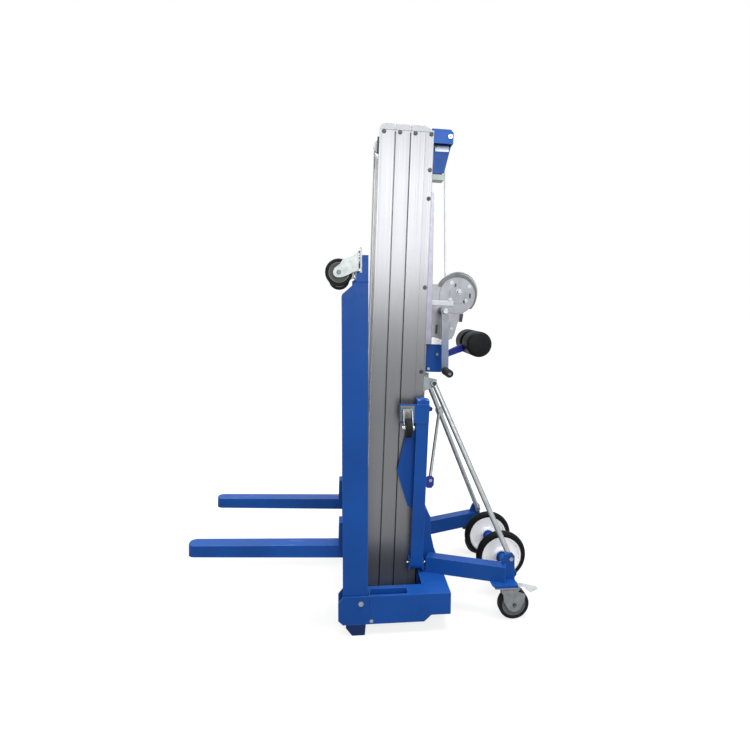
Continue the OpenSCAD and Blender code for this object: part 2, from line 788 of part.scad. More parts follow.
// Lugs for the brace tops, the strut and the two stabilisers
module mast_lugs() {
    color("#2b57ad") in_mast() {
        both_sides() difference() {
            along_y(rail_out, rail_out + 6) polygon([
                [rear_u + 2, brace_top_w - 40], [brace_top_u + 14, brace_top_w - 14],
                [brace_top_u + 14, brace_top_w + 14], [rear_u + 2, brace_top_w + 26]
            ]);
            bar_y(brace_top_u, brace_top_w, eye_bolt_r + hole_play, rail_out - eps, rail_out + 6 + eps);
        }
        both_sides() difference() {
            union() {
                block([stab_front_u - stab_ear_t, shoe_half + shoe_t, stab_pivot_w - 34],
                    [stab_rear_u + stab_ear_t, shoe_half + shoe_t + 5, stab_pivot_w + 34]);
                for (u = [stab_front_u - stab_ear_t, stab_rear_u])
                    block([u, shoe_half + shoe_t, stab_pivot_w - 26],
                        [u + stab_ear_t, stab_pivot_y + 18, stab_pivot_w + 20]);
            }
            translate([stab_u - 60, stab_pivot_y, stab_pivot_w]) rotate([0, 90, 0])
                cylinder(r = stab_pin_r + run_gap, h = 120);
        }
    }
    color("#2b57ad") in_mast() difference() {
        union() {
            along_y(-strut_lug_out, -strut_eye_half - seat_gap) polygon([
                [rear_u, strut_w - 29], [strut_u - 4, strut_w - 12], [strut_u + 10, strut_w],
                [strut_u - 4, strut_w + 12], [rear_u, strut_w + 21]
            ]);
            block([rear_u, -strut_lug_out, strut_w - 29], [rear_u + 6, strut_lug_out, strut_w + 21]);
        }
        bar_y(strut_u, strut_w, strut_bolt_r + hole_play, -strut_lug_out - eps, strut_lug_out);
    }
}

module head_bracket() {
    box = [
        [rear_u, head_low_w], [head_rear_u, head_low_w], [head_rear_u, head_high_w - 12],
        [head_rear_u - 12, head_high_w], [rear_u, head_high_w]
    ];
    color("#2b57ad") in_mast() difference() {
        union() {
            difference() {
                along_y(-head_half, head_half) polygon(box);
                along_y(-head_half + bracket_t, head_half - bracket_t) polygon([
                    [rear_u + bracket_t, head_low_w - eps], [head_rear_u - bracket_t, head_low_w - eps],
                    [head_rear_u - bracket_t, head_high_w - 14], [head_rear_u - 14, head_high_w - bracket_t],
                    [rear_u + bracket_t, head_high_w - bracket_t]
                ]);
            }
            both_sides() along_y(gusset_half - bracket_t, gusset_half) polygon([
                [rear_u, gusset_low_w], [guide_rear_u, gusset_low_w + 6],
                [head_rear_u, head_low_w], [head_rear_u - 1, head_high_w - 14], [rear_u, head_high_w - 1]
            ]);
            block([rear_u, -gusset_half, gusset_low_w], [rear_u + bracket_t, gusset_half, head_low_w + 1]);
        }
        bar_y(head_u, head_w, head_axle_r + run_gap, -gusset_half - eps, gusset_half + eps);
        bar_y(keeper_u, keeper_w, keeper_r + hole_play, -head_half - eps, head_half + eps);
        block([rear_u - eps, -12, head_w - head_sheave_r - 14], [rear_u + bracket_t + eps, 12, head_w + 50]);
    }
}

module head_guide() {
    color("#b9c2b9") in_mast()
        block([rear_u, -gusset_half, gusset_low_w - guide_h], [guide_rear_u, gusset_half, gusset_low_w]);
}

module winch_side_outline() {
    difference() {
        union() {
            translate([drum_u, drum_w]) circle(r = cover_r);
            polygon([
                [rear_u, winch_low_w], [drum_u - 32, winch_low_w + 2], [drum_u - 20, winch_low_w + 8],
                [drum_u - 10, winch_low_w + 28], [drum_u + 1, winch_low_w + 75],
                [drum_u + 35, drum_w - 69], [drum_u, winch_high_w], [rear_u, winch_high_w]
            ]);
        }
        translate([drum_u, drum_w]) circle(r = drum_shaft_r + hole_play);
        translate([crank_u, crank_w]) circle(r = crank_shaft_r + run_gap);
    }
}

module winch_frame() {
    color("#a9adb2") in_mast() {
        both_sides() along_y(winch_plate_in, winch_plate_in + winch_plate_t) winch_side_outline();
        block([rear_u, -winch_plate_in - eps, winch_low_w],
            [rear_u + winch_base_t, winch_plate_in + eps, winch_high_w]);
    }
}

// Blue box on the back of the mast, with the white plug in its top
module handle_bracket() {
    in_mast() {
        color("#274f9c") difference() {
            block([rear_u, -box_half, box_low_w], [box_rear_u, box_half, box_high_w]);
            block([rear_u + box_wall, -box_half + box_wall, box_low_w - eps],
                [box_rear_u - box_wall, box_half - box_wall, box_high_w - box_wall]);
            both_sides() for (p = box_bolts)
                bar_y(p.x, p.y, box_bolt_r + hole_play, box_half - box_wall - eps, box_half + eps);
        }
        color("#f0f1f2") intersection() {
            block([rear_u + plug_front, -plug_half, box_high_w],
                [rear_u + plug_front + plug_depth, plug_half, box_high_w + plug_h]);
            translate([rear_u + plug_front + plug_depth / 2, 0, box_high_w + plug_h - plug_round])
                rotate([90, 0, 0]) cylinder(r = plug_round, h = 2 * plug_half, center = true);
        }
    }
}

module roller_arm() {
    color("#33418f") in_mast() difference() {
        union() {
            along_y(-arm_half, arm_half) polygon([
                [box_rear_u, arm_root[0]], [arm_bend_u, arm_bend[0]], [roller_u + 4, roller_w_pos - 20],
                [roller_u - 6, roller_w_pos + 14], [arm_bend_u + 1, arm_bend[1]], [box_rear_u, arm_root[1]]
            ]);
            bar_y(roller_u, roller_w_pos, arm_boss_r, -arm_half, arm_half);
        }
        bar_y(roller_u, roller_w_pos, roller_axle_r + run_gap, -arm_half - eps, arm_half + eps);
    }
}

module transport_axle() {
    color("#2b57ad") placed() {
        difference() {
            union() {
                bar_y(axle_x, axle_z, axle_r, -lug_in, lug_in);
                both_sides() for (side = [-1, 1])
                    bar_y(axle_x, axle_z, collar_r,
                        transport_y + side * (transport_w / 2 + side_play / 2 + collar_w / 2) - collar_w / 2,
                        transport_y + side * (transport_w / 2 + side_play / 2 + collar_w / 2) + collar_w / 2);
            }
            bar_y(axle_x, axle_z, axle_r - 4, -lug_in - eps, lug_in + eps);
        }
    }
}

// Rope

// Wrap over the head sheave, and the straight run behind the mast down to the drum
module cable_rear() {
    color("#d3d5d6") in_mast() {
        translate([head_u, 0, head_w]) {
            rotate([90, 0, 0]) rotate([0, 0, -run_angle]) rotate_extrude(angle = 180 + run_angle)
                translate([head_sheave_r, 0]) circle(r = rope_r - rope_fit, $fn = 24);
            rotate([0, 180 - run_angle, 0]) translate([-head_sheave_r, 0, -rope_lap])
                cylinder(r = rope_r, h = run_len - run_stop + rope_lap, $fn = 24);
        }
    }
}

// Straight stretch of rope from the top to the bottom height
module rope_drop(u, top_w, low_w) {
    translate([u, 0, low_w]) cylinder(r = rope_r, h = top_w - low_w, $fn = 24);
}

module cable_outer() {
    color("#d3d5d6") in_mast() rope_drop(mid_low_u + sheave_r, head_w, sheave_low_w);
}

module cable_mid() {
    color("#d3d5d6") in_mast() rope_drop(mid_up_u - sheave_r, sheave_top_w, sheave_low_w);
}

module cable_inner() {
    color("#d3d5d6") in_mast() rope_drop(inner_up_u - sheave_r, sheave_top_w, anchor_top_w);
}

// Axles, standing rope and bolts carried by one moving section
module section_rigging(u, low_u, up_u, rope_u) {
    in_mast() {
        color("#4b4d50") top_bolts(u);
        color("#b9bcbe") for (p = [[low_u, sheave_low_w], [up_u, sheave_top_w]])
            bar_y(p.x, p.y, sheave_axle_r, -cheek_out - 1, cheek_out + 1);
        color("#d3d5d6") {
            translate([low_u, 0, sheave_low_w]) rope_wrap(sheave_r, true);
            translate([up_u, 0, sheave_top_w]) rope_wrap(sheave_r, false);
            rope_drop(rope_u, sheave_top_w + rope_lap, sheave_low_w - rope_lap);
        }
    }
}

// Middle section

module mast_mid() {
    color("#c4c9cd") in_mast() difference() {
        union() {
            section_bar(mid_u, mid_depth, true);
            sheave_cheeks(outer_u - section_gap - 2, mid_low_u + 12, mast_foot_w,
                sheave_low_w + 20, mid_low_u, sheave_low_w);
            sheave_cheeks(mid_up_u - 12, mid_up_u + 14, sheave_top_w - 20, mast_top_w - 2,
                mid_up_u, sheave_top_w);
        }
        top_bolt_holes(mid_u);
        block([mid_u + mid_depth - mast_wall - eps, -slot_half, sheave_top_w - 36],
            [mid_u + mid_depth + eps, slot_half, mast_top_w + eps]);
        bar_y(mid_up_u, sheave_top_w, sheave_axle_r + run_gap, -cheek_out - eps, cheek_out + eps);
    }
}

module mast_mid_cap() {
    color("#dfe3e6") in_mast() difference() {
        section_cap(mid_u, mid_depth, [
            [0, mast_top_w], [mid_depth, mast_top_w],
            [mid_depth, mast_top_w + cap_h], [0, mast_top_w + cap_h]
        ]);
        block([outer_u - 20, -12, mast_top_w - eps], [outer_u, 12, mast_top_w + cap_h + eps]);
    }
}

module mid_rigging() {
    section_rigging(mid_u, mid_low_u, mid_up_u, mid_low_u - sheave_r);
}

module mid_glides() {
    color("#e8e8e2") in_mast()
        glide_pair(mid_u + mid_depth + tongue_reach, mast_foot_w + glide_lift, glide_h);
}

module mid_lower_sheave() {
    color("#8f9396") in_mast() translate([mid_low_u, 0, sheave_low_w])
        sheave(sheave_r, sheave_w, sheave_axle_r + run_gap);
}

module mid_upper_sheave() {
    color("#8f9396") in_mast() translate([mid_up_u, 0, sheave_top_w])
        sheave(sheave_r, sheave_w, sheave_axle_r + run_gap);
}

// Front section

module mast_inner() {
    color("#c9ced2") in_mast() difference() {
        union() {
            section_bar(0, front_depth, true);
            sheave_cheeks(front_depth + joint_gap, inner_low_u + 12, mast_foot_w, sheave_low_w + 20,
                inner_low_u, sheave_low_w);
            sheave_cheeks(inner_up_u - 12, front_depth - mast_wall - joint_gap, sheave_top_w - 20,
                mast_top_w - 2, inner_up_u, sheave_top_w);
        }
        top_bolt_holes(0);
        block([front_depth - mast_wall - eps, -slot_half, mast_foot_w - eps],
            [front_depth + eps, slot_half, sheave_low_w + 36]);
    }
}

module mast_inner_cap() {
    color("#dfe3e6") in_mast() union() {
        section_cap(0, front_depth, concat(
            [[0, mast_top_w], [front_depth, mast_top_w], [front_depth, mast_top_w + cap_h]],
            [for (a = [0:15:90]) [
                front_cap_r * (1 - sin(a)), mast_top_w + cap_h - front_cap_r * (1 - cos(a))
            ]]
        ));
    }
}

module inner_rigging() {
    section_rigging(0, inner_low_u, inner_up_u, inner_low_u - sheave_r);
}

// Glide blocks of the front section, and the rubber bumpers near its top
module inner_pads() {
    in_mast() {
        color("#e8e8e2") glide_pair(front_depth + tongue_reach, mast_foot_w + glide_lift, glide_h);
        color("#26282b") both_sides()
            block([-bumper_t, lip_in + 1, mast_top_w - 90], [0, half_w - 1, mast_top_w - 30]);
    }
}

module inner_lower_sheave() {
    color("#8f9396") in_mast() translate([inner_low_u, 0, sheave_low_w])
        sheave(sheave_r, sheave_w, sheave_axle_r + run_gap);
}

module inner_upper_sheave() {
    color("#8f9396") in_mast() translate([inner_up_u, 0, sheave_top_w])
        sheave(sheave_r, sheave_w, sheave_axle_r + run_gap);
}

// Carriage and forks

bumper_t = 7;
carriage_low_w = 92;
carriage_top_w = carriage_low_w + 240;
carriage_head_u = mast_wall + slide_gap + tongue_stem_t;
carriage_glide_h = 80;
plate_back_u = -20;
carriage_plate_t = 8;
bar_rear_u = plate_back_u - carriage_plate_t;
bar_depth = 50;
bar_front_u = bar_rear_u - bar_depth;
bar_half = fork_out + 2;
bar_wall = 4;
lower_bar_w = fork_top - fork_root_h;
upper_bar_low = 377;
upper_bar_top = 417;
heel_depth = 38;
anchor_top_w = 250;
anchor_h = 30;

// Square tube across the carriage between two heights
module cross_bar(w0, w1) {
    difference() {
        block([bar_front_u, -bar_half, w0], [bar_rear_u, bar_half, w1]);
        block([bar_front_u + bar_wall, -bar_half - eps, w0 + bar_wall],
            [bar_rear_u - bar_wall, bar_half + eps, w1 - bar_wall]);
    }
}

module carriage_frame() {
    color("#2b57ad") in_mast() {
        cross_bar(lower_bar_w, fork_top);
        cross_bar(upper_bar_low, upper_bar_top);
        block([bar_rear_u - eps / 2, -tongue_out - 4, carriage_low_w],
            [plate_back_u, tongue_out + 4, upper_bar_top]);
        both_sides() {
            block([plate_back_u - eps, tongue_in, carriage_low_w],
                [carriage_head_u, tongue_in + tongue_stem_t, carriage_top_w]);
            block([mast_wall + slide_gap, tongue_in, carriage_low_w],
                [carriage_head_u, tongue_out, carriage_top_w]);
        }
        block([plate_back_u - eps, -10, anchor_top_w - anchor_h],
            [inner_up_u - sheave_r + rope_r + 3, 10, anchor_top_w]);
    }
}

module carriage_glides() {
    color("#e8e8e2") in_mast()
        for (w = [carriage_low_w + glide_lift, carriage_top_w - glide_lift - carriage_glide_h])
            glide_pair(carriage_head_u, w, carriage_glide_h);
}

// One fork on the far side: tapered blade and the heel that hooks on the upper bar
module fork_blade() {
    inner = fork_out - fork_w;
    tip_r = 26;
    wall = 3.5;
    difference() {
        intersection() {
            along_y(inner, fork_out) polygon([
                [-fork_reach, fork_top - fork_tip_h], [bar_front_u, lower_bar_w],
                [bar_front_u, fork_top], [-fork_reach, fork_top]
            ]);
            translate([0, 0, lower_bar_w - eps]) linear_extrude(fork_root_h + 2 * eps) union() {
                translate([-fork_reach + tip_r, inner]) square([fork_reach - tip_r, fork_w]);
                translate([-fork_reach, inner + tip_r]) square([fork_reach, fork_w - 2 * tip_r]);
                for (y = [inner + tip_r, fork_out - tip_r])
                    translate([-fork_reach + tip_r, y]) circle(r = tip_r);
            }
        }
        along_y(inner + wall, fork_out - wall) polygon([
            [-fork_reach + 2 * tip_r, fork_top - fork_tip_h + wall], [bar_front_u + eps, lower_bar_w + wall],
            [bar_front_u + eps, fork_top - wall], [-fork_reach + 2 * tip_r, fork_top - wall]
        ]);
    }
    difference() {
        block([bar_front_u - heel_depth, inner, fork_top - eps], [bar_front_u, fork_out, upper_bar_top]);
        block([bar_front_u - heel_depth + 4, inner + 4, fork_top],
            [bar_front_u + eps, fork_out - 4, upper_bar_top - 4]);
    }
}

module fork_near() {
    color("#2b57ad") in_mast() near_side() fork_blade();
}

module fork_far() {
    color("#2b57ad") in_mast() fork_blade();
}

// Winch

// Spur gear outline with straight-flanked teeth, one tooth centred on start_angle
module gear_outline(teeth, start_angle) {
    r = gear_module * teeth / 2;
    pitch = 360 / teeth;
    polygon([for (i = [0:teeth - 1], p = [
        [-0.30, -tooth_ded], [-0.11, tooth_add], [0.11, tooth_add], [0.30, -tooth_ded]
    ]) let (a = start_angle + (i + p.x) * pitch) (r + p.y) * [cos(a), sin(a)]]);
}

module drum_blank() {
    rotate([90, 0, 0]) difference() {
        union() {
            cylinder(r = drum_core_r, h = 2 * drum_half + 2, center = true);
            for (side = [-1, 1]) translate([0, 0, side * (drum_half + drum_flange_t / 2)])
                cylinder(r = drum_flange_r, h = drum_flange_t, center = true);
            translate([0, 0, drum_half + drum_flange_t - eps]) cylinder(r = 30, h = 4);
            translate([0, 0, -gear_y - gear_t]) linear_extrude(gear_t)
                gear_outline(drum_teeth, shaft_dir);
            cylinder(r = 16, h = 2 * winch_plate_in - 2 * side_play, center = true);
        }
        cylinder(r = drum_shaft_r + run_gap, h = 4 * drum_half, center = true);
    }
}

// Drum with the clamp that the end of the rope butts against, beside the far flange
module winch_drum() {
    color("#6d7276") in_mast() translate([drum_u, 0, drum_w]) {
        drum_blank();
        rotate([0, -run_angle, 0])
            block([-wind_r - clamp_reach, wind_half - rope_r + seat_gap, -rope_d - seat_gap - clamp_len],
                [-wind_r + clamp_reach, drum_half + eps, -rope_d - seat_gap]);
    }
}

// Outer layer of rope: a helix with a straight end of one rope diameter at both ends
rope_d = 2 * rope_r;
wind_pitch = rope_d + 0.6;
wind_half = wind_pitch * rope_turns / 2;
ring_step = 15;
clamp_reach = 6;
clamp_len = 8;
helix_rings = rope_turns * 360 / ring_step;
half_turn = 180 / ring_step;

function wind_dir(a) = [cos(a), 0, sin(a)];
function wind_tangent(a) = [-sin(a), 0, cos(a)];
function wind_y(i) = wind_half - wind_pitch * i * ring_step / 360;
function wind_angle(i) = i * ring_step;
function wind_point(i) = wind_r * wind_dir(wind_angle(i)) + [0, wind_y(i), 0];

// Ring of six points round the rope, square to the helix
function rope_ring(centre, a) = [
    for (k = [0:5]) centre + rope_r * (cos(60 * k) * wind_dir(a) + sin(60 * k) * [0, 1, 0])
];

module drum_rope() {
    last = wind_angle(helix_rings);
    rings = concat(
        [rope_ring(wind_point(0) - rope_d * wind_tangent(0), 0)],
        [for (i = [0:helix_rings]) rope_ring(wind_point(i), wind_angle(i))],
        [rope_ring(wind_point(helix_rings) + rope_d * wind_tangent(last), last)]
    );
    n = len(rings);
    points = [for (ring = rings) for (p = ring) p];
    faces = concat(
        [[for (k = [0:5]) k]],
        [for (i = [0:n - 2], k = [0:5]) each [
            [6 * i + k, 6 * (i + 1) + k, 6 * i + (k + 1) % 6],
            [6 * (i + 1) + k, 6 * (i + 1) + (k + 1) % 6, 6 * i + (k + 1) % 6]
        ]],
        [[for (k = [5:-1:0]) 6 * (n - 1) + k]]
    );
    centres = [for (i = [0:helix_rings]) wind_point(i)];
    apart = min([for (i = [0:helix_rings], j = [i + half_turn:1:helix_rings]) norm(centres[i] - centres[j])]);
    echo(least_gap_of_the_drum_rope_to_itself = apart - rope_d);
    color("#d3d5d6") in_mast() translate([drum_u, 0, drum_w]) rotate([0, -run_angle, 0])
        mirror([1, 0, 0]) polyhedron(points = points, faces = faces);
}

module winch_crank() {
    color("#9a9ea2") in_mast() translate([crank_u, 0, crank_w]) {
        bar_y(0, 0, crank_shaft_r, -crank_arm_in - crank_arm_t, winch_plate_in + winch_plate_t + 8);
        bar_y(0, 0, 16, -crank_arm_in - eps, -winch_plate_in - winch_plate_t - side_play);
        translate([0, gear_y + gear_t, 0]) rotate([90, 0, 0]) linear_extrude(gear_t)
            gear_outline(pinion_teeth, shaft_dir + 180 + 180 / pinion_teeth);
        rotate([0, -crank_tilt, 0]) difference() {
            along_y(-crank_arm_in - crank_arm_t, -crank_arm_in) union() {
                translate([-crank_arm_w / 2, -crank_len]) square([crank_arm_w, crank_len]);
                circle(r = crank_arm_w / 2 + 3);
                translate([0, -crank_len]) circle(r = crank_arm_w / 2);
            }
            bar_y(0, -crank_len, grip_pin_r - 0.5, -crank_arm_in - crank_arm_t - eps, -crank_arm_in + eps);
        }
        rotate([0, -crank_tilt, 0]) translate([0, 0, -crank_len])
            bar_y(0, 0, grip_pin_r, -crank_arm_in - crank_arm_t - grip_len - 2, -crank_arm_in - 2);
    }
}

module crank_grip() {
    color("#2a2a2d") in_mast() translate([crank_u, 0, crank_w]) rotate([0, -crank_tilt, 0])
        translate([0, -crank_arm_in - crank_arm_t - side_play / 2, -crank_len])
            rotate([90, 0, 0]) rotate_extrude() difference() {
                translate([grip_pin_r + run_gap, 0]) square([grip_r - grip_pin_r - run_gap, grip_len]);
                for (y = [0, grip_len]) translate([grip_r, y]) rotate(45) square(5, center = true);
            }
}

module head_sheave() {
    color("#8f9396") in_mast() translate([head_u, 0, head_w])
        sheave(head_sheave_r, head_sheave_w, head_axle_r + run_gap);
}

// Front legs

module front_leg() {
    low_x = pivot_x + leg_rear - leg_d;
    rear_face = pivot_x + leg_rear;
    top_z = pivot_z + leg_len;
    neck_x = rear_face - leg_neck_t;
    neck_foot_z = top_z + 46;        // the neck is welded on above this
    color("#2b57ad") difference() {
        union() {
            difference() {
                along_y(leg_y - leg_w / 2, leg_y + leg_w / 2) {
                    polygon([
                        [low_x, pivot_z - leg_rear], [low_x, top_z], [low_x + 52, neck_foot_z],
                        [low_x + 52, top_z + 72], [neck_x, top_z + 84], [neck_x, top_z + neck_len],
                        [rear_face, top_z + neck_len], [rear_face, pivot_z],
                        [pivot_x, pivot_z], [pivot_x, pivot_z - leg_rear]
                    ]);
                    translate([pivot_x, pivot_z]) circle(r = leg_rear);
                }
                block([low_x + leg_wall, leg_y - leg_w / 2 + leg_wall, pivot_z + 60],
                    [rear_face - leg_wall, leg_y + leg_w / 2 - leg_wall, top_z - 10]);
                block([low_x + 25, leg_y - 12, top_z - 15], [neck_x, leg_y + 12, top_z + 90]);
                block([low_x - eps, leg_y - leg_w, neck_foot_z],
                    [rear_face + eps, leg_y + leg_w, neck_foot_z + joint_gap]);
            }
        }
        bar_y(pivot_x, pivot_z, pivot_r + run_gap, leg_y - leg_w, leg_y + leg_w);
    }
    color("#b4b8ba") translate([neck_x - pad_t, leg_y, pivot_z + front_kingpin_up]) {
        block([0, -34, -44], [pad_t, 34, 46]);
        rotate([0, 90, 0]) kingpin();
    }
}

module at_front_caster() {
    translate([pivot_x + leg_rear - leg_neck_t - pad_t, leg_y, pivot_z + front_kingpin_up])
        rotate([0, 90, 0]) children();
}

module front_leg_near() {
    placed() near_side() front_leg();
}

module front_leg_far() {
    placed() front_leg();
}

module front_fork() {
    color("#c4c8ca") at_front_caster()
        caster_fork(front_drop, front_trail, front_wheel_r, front_wheel_w, 0);
}

module front_fork_near() {
    placed() near_side() front_fork();
}

module front_fork_far() {
    placed() front_fork();
}

module front_wheel() {
    at_front_caster() translate([front_trail, 0, -front_drop])
        wheel(front_wheel_r, front_wheel_w, 12, "#6f7370");
}

module front_wheel_near() {
    placed() near_side() front_wheel();
}

module front_wheel_far() {
    placed() front_wheel();
}

// Stabilisers

module stabiliser() {
    u0 = stab_u - stabiliser_w / 2;
    u1 = stab_u + stabiliser_w / 2;
    y0 = stab_in;
    y1 = stab_in + stabiliser_w;
    top = stab_pivot_w + stabiliser_len;
    color("#2b57ad") {
        difference() {
            union() {
                block([u0, y0, stab_pivot_w], [u1, y1, top]);
                translate([u0, stab_pivot_y, stab_pivot_w]) rotate([0, 90, 0])
                    cylinder(r = stabiliser_w / 2, h = stabiliser_w);
            }
            block([u0 + stab_wall, y0 + stab_wall, stab_pivot_w + 40],
                [u1 - stab_wall, y1 - stab_wall, top + eps]);
            translate([u0 - eps, stab_pivot_y, stab_pivot_w]) rotate([0, 90, 0])
                cylinder(r = stab_pin_r + run_gap, h = stabiliser_w + 2 * eps);
        }
        along_y(y0, y0 + 6) polygon([
            [u0 + eps, stab_pivot_w + 226], [u0 - 17, stab_pivot_w + 237],
            [u0 - 67, stab_pivot_w + 385], [u0 - 35, stab_pivot_w + 546], [u0 + eps, stab_pivot_w + 560]
        ]);
        block([stab_king_u - 32, y1, stab_pivot_w + stab_king_up - 38],
            [u1, y1 + stab_plate_t, stab_pivot_w + stab_king_up + 38]);
    }
    color("#e6e8ea") intersection() {
        block([u0, y0, top], [u1, y1, top + 9]);
        translate([stab_u, stab_pivot_y, top - 40]) rotate([0, 0, 0]) sphere(r = 52);
    }
    color("#b4b8ba") translate([stab_king_u, y1 + stab_plate_t, stab_pivot_w + stab_king_up]) {
        block([-28, 0, -32], [28, 2.5, 32]);
        translate([0, 2.5, 0]) rotate([90, 0, 0]) kingpin();
    }
}

// Caster frame on the far stabiliser: kingpin along Y, wheel trailing downwards
module at_stabiliser_caster() {
    translate([stab_king_u, stab_in + stabiliser_w + stab_plate_t + 2.5, stab_pivot_w + stab_king_up])
        rotate([90, 0, 0]) rotate([0, 0, mast_lean - 90]) children();
}

module stabiliser_near() {
    in_mast() near_side() stabiliser();
}

module stabiliser_far() {
    in_mast() stabiliser();
}

module stabiliser_fork() {
    color("#c4c8ca") at_stabiliser_caster()
        caster_fork(stab_drop, stab_trail, stabiliser_wheel_r, stab_wheel_w, 0);
}

module stabiliser_fork_near() {
    in_mast() near_side() stabiliser_fork();
}

module stabiliser_fork_far() {
    in_mast() stabiliser_fork();
}

module stabiliser_wheel() {
    at_stabiliser_caster() translate([stab_trail, 0, -stab_drop])
        wheel(stabiliser_wheel_r, stab_wheel_w, 8, "#55585a");
}

module stabiliser_wheel_near() {
    in_mast() near_side() stabiliser_wheel();
}

module stabiliser_wheel_far() {
    in_mast() stabiliser_wheel();
}

// Transport wheels

module transport_wheel() {
    ring_t = 23;
    rim_r = transport_r - ring_t;
    color("#f2f2f2") translate([axle_x, transport_y, axle_z]) rotate([90, 0, 0]) rotate_extrude() {
        translate([axle_r + run_gap, -transport_w / 2]) square([hub_r - axle_r - run_gap, transport_w]);
        translate([hub_r - eps, -5]) square([rim_r - hub_r + eps - seat_gap, 10]);
        translate([rim_r - 8, -transport_w / 2 + 3]) square([8 - seat_gap, transport_w - 6]);
    }
    color("#202224") translate([axle_x, transport_y, axle_z]) rotate([90, 0, 0]) rotate_extrude()
        intersection() {
            translate([rim_r, -transport_w / 2]) square([ring_t, transport_w]);
            translate([transport_r - 20, 0]) circle(r = 20, $fn = 48);
        }
    color("#202224") translate([axle_x, transport_y, axle_z]) rotate([90, 0, 0]) rotate_extrude()
        translate([rim_r, -transport_w / 2]) square([4, transport_w]);
}

module transport_wheel_near() {
    placed() near_side() transport_wheel();
}

module transport_wheel_far() {
    placed() transport_wheel();
}

// Loading roller: two rubber halves on one axle, with the arm between them
module loading_roller() {
    color("#1f2122") in_mast() translate([roller_u, 0, roller_w_pos]) {
        both_sides() rotate([90, 0, 0]) translate([0, 0, -roller_w / 2]) rotate_extrude() difference() {
            translate([roller_axle_r, 0]) square([roller_r - roller_axle_r, roller_w / 2 - arm_half - 3]);
            for (y = [0, roller_w / 2 - arm_half - 3])
                translate([roller_r, y]) rotate(45) square(10, center = true);
        }
        bar_y(0, 0, roller_axle_r, -roller_w / 2 - 4, roller_w / 2 + 4);
    }
}

// Rear casters with their brake pedals

pedal_x = 56;
pedal_drop = 5.2;
pedal_len = 82;
pedal_half = 12;
pedal_pin_r = 2.5;

module at_rear_caster() {
    translate([king_x, king_y, caster_plate_z]) children();
}

module rear_fork() {
    half = rear_wheel_w / 2 + wheel_play;
    color("#c4c8ca") at_rear_caster() {
        caster_fork(rear_drop, rear_trail, rear_wheel_r, rear_wheel_w, 0);
        both_sides() along_y(half, half + fork_t) polygon([
            [20, -race_h - 5], [20, -0.5], [pedal_x + 5, -0.5], [pedal_x + 5, -10], [rear_trail + 8, -26]
        ]);
        bar_y(pedal_x, -pedal_drop, pedal_pin_r, -half - eps, half + eps);
    }
}

module rear_fork_near() {
    placed() near_side() rear_fork();
}

module rear_fork_far() {
    placed() rear_fork();
}

module rear_wheel() {
    at_rear_caster() translate([rear_trail, 0, -rear_drop])
        wheel(rear_wheel_r, rear_wheel_w, 14, "#b9bcbd");
}

module rear_wheel_near() {
    placed() near_side() rear_wheel();
}

module rear_wheel_far() {
    placed() rear_wheel();
}

module brake_pedal() {
    color("#d2d5d7") at_rear_caster() difference() {
        union() {
            bar_y(pedal_x, -pedal_drop, pedal_pin_r + 2.2, -pedal_half, pedal_half);
            along_y(-pedal_half, pedal_half) polygon([
                [pedal_x, -pedal_drop + 4], [pedal_x + 18, -pedal_drop + 4],
                [pedal_x + pedal_len, -pedal_drop - 12], [pedal_x + pedal_len, -pedal_drop - 16],
                [pedal_x + 17, -pedal_drop], [pedal_x, -pedal_drop]
            ]);
        }
        bar_y(pedal_x, -pedal_drop, pedal_pin_r + run_gap, -pedal_half - eps, pedal_half + eps);
    }
}

module brake_pedal_near() {
    placed() near_side() brake_pedal();
}

module brake_pedal_far() {
    placed() brake_pedal();
}

base_frame();
floor_feet();
mast_outer();
mast_outer_cap();
frame_fasteners();
outriggers();
braces();
mast_lugs();
head_bracket();
head_guide();
winch_frame();
handle_bracket();
roller_arm();
transport_axle();
cable_rear();
cable_outer();
mast_mid();
mast_mid_cap();
mid_rigging();
mid_glides();
cable_mid();
mid_lower_sheave();
mid_upper_sheave();
mast_inner();
mast_inner_cap();
inner_rigging();
inner_pads();
cable_inner();
inner_lower_sheave();
inner_upper_sheave();
carriage_frame();
carriage_glides();
fork_near();
fork_far();
winch_drum();
drum_rope();
winch_crank();
crank_grip();
head_sheave();
front_leg_near();
front_leg_far();
front_fork_near();
front_fork_far();
front_wheel_near();
front_wheel_far();
stabiliser_near();
stabiliser_far();
stabiliser_fork_near();
stabiliser_fork_far();
stabiliser_wheel_near();
stabiliser_wheel_far();
transport_wheel_near();
transport_wheel_far();
loading_roller();
rear_fork_near();
rear_fork_far();
rear_wheel_near();
rear_wheel_far();
brake_pedal_near();
brake_pedal_far();
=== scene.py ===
import math

import bmesh
import bpy
from mathutils import Matrix, Vector


